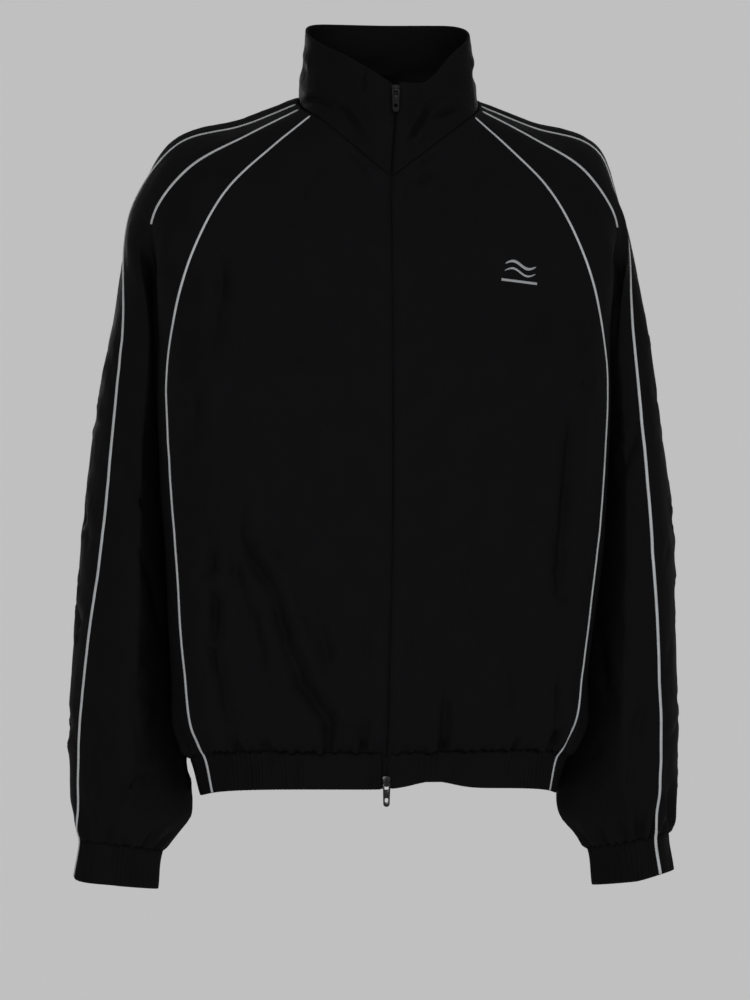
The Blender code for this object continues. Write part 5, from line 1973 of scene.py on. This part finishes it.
@dataclass
class Slider:
    """One slider of the two-way zip: a rounded plate before and behind the tapes, their post, and the bail."""

    name: str
    mount: ZipMount
    bail_height: float
    width: float = 0.0082
    length: float = 0.0105
    wall: float = 0.0013
    front: float = -0.0004  # its front plate's inner face
    back: float = 0.0062  # its back plate's inner face

    def build(self, dresser: Dresser) -> None:
        """Makes the slider.

        Args:
            dresser: Finishes the piece.
        """
        shape = bmesh.new()
        half = self.width / 2
        outline = rounded_outline(half, half * 0.74, self.length / 2, -self.length / 2)
        plate(shape, outline, self.front - self.wall, self.wall)
        small = [(x * 0.86, z * 0.94) for x, z in outline]
        plate(shape, small, self.back - 0.0006, self.wall * 0.8)
        bmesh.ops.recalc_face_normals(shape, faces=shape.faces)
        bevelled(shape, 0.00038)
        post = Matrix.Translation((0, (self.front + self.back) / 2, 0.0006))
        bmesh.ops.create_cone(
            shape, cap_ends=True, segments=12, radius1=0.0011, radius2=0.0011, depth=self.back - self.front + 0.0004,
            matrix=post @ Matrix.Diagonal((0.36, 1, 1.6, 1)) @ Matrix.Rotation(math.pi / 2, 4, "X"))
        self.bail(shape)
        bmesh.ops.transform(shape, matrix=self.mount.matrix, verts=shape.verts)
        piece = from_bmesh(f"{self.name}_slider", shape)
        dresser.dress(piece, SLIDER_ENAMEL, "zip_slider", f"slider_{self.name}")

    def bail(self, shape: bmesh.types.BMesh) -> None:
        """Adds the arch that the pull hangs in, swept over the front plate.

        Args:
            shape: The shape that it is added to.
        """
        face, before = self.front - self.wall, set(shape.verts)
        made = bmesh.ops.create_circle(
            shape, segments=10, radius=0.00052,
            matrix=Matrix.Translation((0, face + 0.0006, self.bail_height + 0.00262)))
        ring = made["verts"]
        edges = list({edge for vertex in ring for edge in vertex.link_edges})
        bmesh.ops.spin(
            shape, geom=ring + edges, cent=(0, face + 0.0006, self.bail_height), axis=(1, 0, 0),
            angle=math.pi, steps=14)
        grown = [vertex for vertex in shape.verts if vertex not in before]
        bmesh.ops.holes_fill(shape, edges=[edge for edge in shape.edges if edge.is_boundary], sides=12)
        for vertex in grown:
            vertex.co.y = face + 0.0006 + (vertex.co.y - face - 0.0006) * 1.24
            vertex.co.x *= 1.5
        faces = list({face for vertex in grown for face in vertex.link_faces})
        bmesh.ops.recalc_face_normals(shape, faces=faces)


@dataclass
class Pull:
    """A flat tab that hangs by its crossbar in a slider's bail. Its axis is its joint's."""

    name: str
    turn: Matrix
    pivot: Vector
    width: float = 0.0074
    end_width: float = 0.0062
    length: float = 0.0225
    wall: float = 0.0012
    bar: float = 0.0011
    slot: tuple[float, float] = (0.0041, 0.0052)
    hole: tuple[float, float] = (0.0033, 0.0045)
    hole_below: float = 0.0162

    def build(self, dresser: Dresser) -> None:
        """Makes the pull.

        Args:
            dresser: Finishes the piece.
        """
        shape = bmesh.new()
        top, low = self.bar / 2, -self.length
        outline = rounded_outline(self.width / 2, self.end_width / 2, top, low, 6, 0.18)
        plate(shape, outline, -self.wall / 2, self.wall)
        bmesh.ops.recalc_face_normals(shape, faces=shape.faces)
        piece = from_bmesh(f"{self.name}_pull", shape, smooth=False)
        cutters = [
            self.cutter("slot", self.slot, -top - self.slot[1] / 2, 0.0009),
            self.cutter("hole", self.hole, -self.hole_below, 0.0014),
        ]
        for helper in cutters:
            step = piece.modifiers.new(helper.name, "BOOLEAN")
            step.operation = "DIFFERENCE"
            step.object = helper
        edge = piece.modifiers.new("edge", "BEVEL")
        edge.width, edge.segments, edge.limit_method = 0.00026, 2, "ANGLE"
        graph = bpy.context.evaluated_depsgraph_get()
        mesh = bpy.data.meshes.new_from_object(piece.evaluated_get(graph))
        piece.modifiers.clear()
        piece.data = mesh
        for helper in cutters:
            bpy.data.objects.remove(helper)
        mesh.transform(Matrix.Translation(self.pivot) @ self.turn.to_4x4())
        mesh.polygons.foreach_set("use_smooth", np.full(len(mesh.polygons), True))
        mesh.set_sharp_from_angle(angle=math.radians(35))
        dresser.dress(piece, PULL_ENAMEL, "zip_pull", f"pull_{self.name}", body=f"pull_{self.name}")

    def cutter(self, name: str, size: tuple[float, float], height: float, corner: float) -> bpy.types.Object:
        """A rounded block that cuts an opening through the tab.

        Args:
            name: The opening's name.
            size: Its width and height.
            height: Its middle's height.
            corner: How round its corners are.

        Returns:
            The block.
        """
        shape = bmesh.new()
        bmesh.ops.create_cube(shape, size=1)
        bmesh.ops.scale(shape, vec=(size[0], self.wall * 3, size[1]), verts=shape.verts)
        bmesh.ops.translate(shape, vec=(0, 0, height), verts=shape.verts)
        deep = [edge for edge in shape.edges if abs(edge.verts[0].co.y - edge.verts[1].co.y) > self.wall]
        bmesh.ops.bevel(shape, geom=deep, offset=corner, segments=5, profile=0.5, affect="EDGES", material=-1,
                        clamp_overlap=True)
        return from_bmesh(name, shape, smooth=False)


# ---------------------------------------------------------------- stitches and print


@dataclass
class Stitching:
    """Runs of lock stitches in black thread, sunk a little into the cloth."""

    stitch: float = 0.0022
    gap: float = 0.0010
    thread: float = 0.00024
    from_edge: float = 0.0078
    shape: bmesh.types.BMesh = field(default_factory=bmesh.new)

    def run(self, line: np.ndarray, out: np.ndarray) -> None:
        """Adds one run of stitches along a line on the cloth.

        Args:
            line: The line's points.
            out: The way out of the cloth at each point.
        """
        gone = travelled(line[:, None], 0)[:, 0]
        pitch = self.stitch + self.gap
        for place in np.arange(pitch / 2, gone[-1] - pitch / 2, pitch):
            ends = [Vector(placed(line, gone, place + step)) for step in (-self.stitch / 2, self.stitch / 2)]
            off = Vector(placed(out, gone, place)).normalized()
            way = (ends[1] - ends[0]).normalized()
            turn = Matrix((way, off, way.cross(off))).transposed().to_4x4()
            size = Matrix.Diagonal((self.stitch / 2, self.thread, self.thread, 1))
            middle = (ends[0] + ends[1]) / 2 + off * self.thread * 0.4
            bmesh.ops.create_icosphere(self.shape, subdivisions=1, radius=1,
                                       matrix=Matrix.Translation(middle) @ turn @ size)

    def build(self, dresser: Dresser, shell: Shell, collar: Collar) -> None:
        """Sews the lines beside the zip, on the fronts and on the collar.

        Args:
            dresser: Finishes the piece.
            shell: The cloth of the body and the sleeves.
            collar: The finished collar.
        """
        for side in Side:
            surface = shell.body[side]
            edge = 0 if side is Side.LEFT else -1
            self.beside_zip(surface.settled(), surface.normals, edge)
            self.beside_zip(collar.outer, collar.normals, edge)
        piece = from_bmesh("topstitching", self.shape)
        dresser.dress(piece, THREAD, "shell_cloth")

    def beside_zip(self, points: Grid, normals: Grid, edge: int) -> None:
        """Sews one line beside the zip edge.

        Args:
            points: The cloth's points.
            normals: The way out at each point.
            edge: The column at the zip, 0 or -1.
        """
        across = travelled(points, 1)
        gone = across if edge == 0 else across[:, -1:] - across
        column = np.abs(gone - self.from_edge).argmin(axis=1)
        rows = np.arange(len(points))
        self.run(points[rows, column], normals[rows, column])


@dataclass
class ChestPrint:
    """A small plain print on the wearer's left chest: two ripples over a bar, of no maker's."""

    centre: tuple[float, float] = (0.1265, -0.1705)
    width: float = 0.036
    tilt: float = -0.10  # it follows the chest, down to the wearer's left
    film: float = 0.00012

    def build(self, dresser: Dresser, shell: Shell) -> None:
        """Makes the print on the front's cloth.

        Args:
            dresser: Finishes the piece.
            shell: The cloth of the body and the sleeves.
        """
        surface = shell.body[Side.LEFT]
        points, normals = surface.settled(), surface.normals
        rows = [self.wave(0.0085, 0.0030, 0.0030), self.wave(0.0015, 0.0030, 0.0022), self.bar(-0.0075, 0.0024)]
        shape = bmesh.new()
        for row in rows:
            self.strip(shape, row, points, normals)
        piece = from_bmesh("chest_print", shape)
        solid = piece.modifiers.new("film", "SOLIDIFY")
        solid.thickness, solid.offset = self.film, 1
        dresser.dress(piece, PRINT_FILM, "reflective_piping")

    def wave(self, height: float, swing: float, thick: float) -> list[tuple[float, float, float, float]]:
        """A ripple as steps of x, lower z, x and upper z, thin at its ends.

        Args:
            height: Its middle's height.
            swing: How far it goes up and down.
            thick: Its greatest width.

        Returns:
            The steps in order.
        """
        made = []
        for share in np.linspace(0, 1, 41):
            x = (share - 0.5) * self.width * 0.86
            middle = height + swing * math.sin(share * 2 * math.pi)
            half = thick / 2 * (0.25 + 0.75 * math.sin(math.pi * share) ** 0.6)
            made.append((x, middle - half, x, middle + half))
        return made

    def bar(self, height: float, thick: float) -> list[tuple[float, float, float, float]]:
        """A plain bar as the same kind of steps."""
        return [((share - 0.5) * self.width, height - thick / 2, (share - 0.5) * self.width, height + thick / 2)
                for share in np.linspace(0, 1, 41)]

    def strip(self, shape: bmesh.types.BMesh, steps: Sequence[tuple[float, float, float, float]], points: Grid,
              normals: Grid) -> None:
        """Adds one strip of the print, each corner laid on the cloth.

        Args:
            shape: The shape that it is added to.
            steps: The steps of the strip.
            points: The cloth's points.
            normals: The way out at each point.
        """
        made = bmesh.ops.create_grid(shape, x_segments=len(steps) - 1, y_segments=1, size=1)
        for vertex in made["verts"]:
            step = steps[round((vertex.co.x + 1) / 2 * (len(steps) - 1))]
            x, z = (step[0], step[1]) if vertex.co.y < 0 else (step[2], step[3])
            turned = (x - z * self.tilt, z + x * self.tilt)
            vertex.co = self.laid(self.centre[0] + turned[0], self.centre[1] + turned[1], points, normals)

    @staticmethod
    def laid(x: float, z: float, points: Grid, normals: Grid) -> Vector:
        """The place just above the cloth that shows at an x and z.

        Args:
            x: The place across.
            z: The height.
            points: The cloth's points.
            normals: The way out at each point.

        Returns:
            The place.
        """
        away = (points[..., 0] - x) ** 2 + (points[..., 2] - z) ** 2
        row, column = np.unravel_index(away.argmin(), away.shape)
        near, out = points[row, column], normals[row, column]
        # The cloth is nearly flat from one point of its grid to the next, so its depth follows its slope.
        y = near[1] - ((x - near[0]) * out[0] + (z - near[2]) * out[2]) / out[1]
        return Vector((x, y, z)) + Vector(out) * 0.0002


# ---------------------------------------------------------------- studio


# The light panels: name, place, size in metres and power in watts.
LIGHT_PANELS = (
    ("key", (-1.6, -2.9, 0.6), 0.9, 13),
    ("fill", (2.2, -2.6, 0.1), 1.0, 12),
    ("front", (-0.2, -3.5, -0.8), 0.8, 19),
    ("top", (0.2, -0.9, 2.4), 1.2, 7),
    ("back_left", (1.0, 3.3, 0.5), 1.2, 13),
    ("back_right", (-1.0, 3.3, 0.3), 1.2, 13),
)


@dataclass
class Studio:
    """A plain pale floor, soft light from all round and from large panels, and the camera."""

    target: tuple[float, float, float] = (-0.0045, 0.0004, -0.390)
    azimuth: float = -5.0
    distance: float = 3.6
    lens: float = 129.6
    backdrop: str = "#c0c0c0"
    ambient: float = 0.27
    floor_height: float = -0.95

    def build(self) -> None:
        """Makes the floor, the world, the lights and the camera."""
        scene = bpy.context.scene
        scene.view_settings.view_transform = "Standard"
        self.floor()
        self.world()
        for lamp in LIGHT_PANELS:
            self.panel(*lamp)
        self.camera()

    def floor(self) -> None:
        """The floor, as pale and even as the backdrop."""
        shape = bmesh.new()
        bmesh.ops.create_grid(shape, x_segments=1, y_segments=1, size=30)
        bmesh.ops.translate(shape, vec=(0, 0, self.floor_height), verts=shape.verts)
        piece = from_bmesh("studio_floor", shape, smooth=False)
        made, tree = empty_material("studio_paper_pale_grey")
        shaded(tree, {"Base Color": (0, 0, 0, 1), "Roughness": 1.0, "Specular IOR Level": 0.0,
                      "Emission Color": linear(self.backdrop), "Emission Strength": 1.0})
        piece.data.materials.append(made)

    def world(self) -> None:
        """The backdrop's even grey, which lights the jacket more softly than it shows."""
        world = bpy.data.worlds.new("studio")
        bpy.context.scene.world = world
        world.use_nodes = True
        tree = world.node_tree
        tree.nodes.clear()
        seen = add_node(tree, "ShaderNodeLightPath")
        shown = add_node(tree, "ShaderNodeBackground", inputs={"Color": linear(self.backdrop), "Strength": 1.0})
        light = add_node(tree, "ShaderNodeBackground", inputs={"Color": linear("#ffffff"), "Strength": self.ambient})
        mix = add_node(tree, "ShaderNodeMixShader", inputs={
            0: seen.outputs["Is Camera Ray"], 1: light.outputs[0], 2: shown.outputs[0]})
        add_node(tree, "ShaderNodeOutputWorld", inputs={"Surface": mix.outputs[0]})

    def panel(self, name: str, place: tuple[float, float, float], size: float, power: float) -> None:
        """A large soft light that looks at the middle of the jacket.

        Args:
            name: The light's name.
            place: Where it is.
            size: How long its sides are.
            power: How strong it is, in watts.
        """
        lamp = bpy.data.lights.new(name, "AREA")
        lamp.shape, lamp.size, lamp.energy = "SQUARE", size, power
        made = bpy.data.objects.new(name, lamp)
        bpy.context.scene.collection.objects.link(made)
        made.location = place
        way = Vector(self.target) - Vector(place)
        made.rotation_euler = way.to_track_quat("-Z", "Y").to_euler()

    def camera(self) -> None:
        """The camera, level, a little to the wearer's right of the front."""
        data = bpy.data.cameras.new("camera")
        data.lens, data.sensor_width, data.sensor_fit = self.lens, 36.0, "AUTO"
        made = bpy.data.objects.new("camera", data)
        bpy.context.scene.collection.objects.link(made)
        turn = math.radians(self.azimuth)
        back = Vector((math.sin(turn), -math.cos(turn), 0))
        made.location = Vector(self.target) + back * self.distance
        made.rotation_euler = (-back).to_track_quat("-Z", "Y").to_euler()
        bpy.context.scene.camera = made


def zip_mounts() -> dict[str, ZipMount]:
    """Where the two sliders are on the zip.

    Returns:
        Each slider's place by its name.
    """
    one = [np.array([1.0])]
    high = worn(stand_collar(np.array([2.0, 1.5]), one * 11), Side.LEFT)[:, 0]
    low = worn(torso_front(np.array([TORSO_BAND, TORSO_END], float), one * 3), Side.LEFT)[:, 0]
    for pair in (high, low):
        pair[:, 0] -= ZIP_EDGE
    ends = {"top": high, "bottom": low}
    return {name: ZipMount.at(*ends[name], height) for name, height in SLIDER_HEIGHTS.items()}


def main() -> None:
    """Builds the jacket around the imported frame."""
    logging.basicConfig(level=logging.INFO, format="%(name)s %(message)s", force=True)
    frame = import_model()
    dresser = Dresser()
    shell = Shell()
    shell.lay()
    shell.cut(dresser)
    bands = ElasticBands()
    bands.build(dresser)
    collar = Collar()
    collar.build(dresser)
    Piping().build(dresser, shell, bands)
    ZipFastener().build(dresser, ZipLine.of(collar, shell))
    pivots = {joint["child"]: Vector(joint["pos_m"]) for joint in frame["joints"]}
    for name, mount in zip_mounts().items():
        Slider(name, mount, BAIL_HEIGHTS[name]).build(dresser)
        Pull(name, mount.turn, pivots[f"pull_{name}"]).build(dresser)
    Stitching().build(dresser, shell, collar)
    ChestPrint().build(dresser, shell)
    Studio().build()


if __name__ == "__main__":
    main()
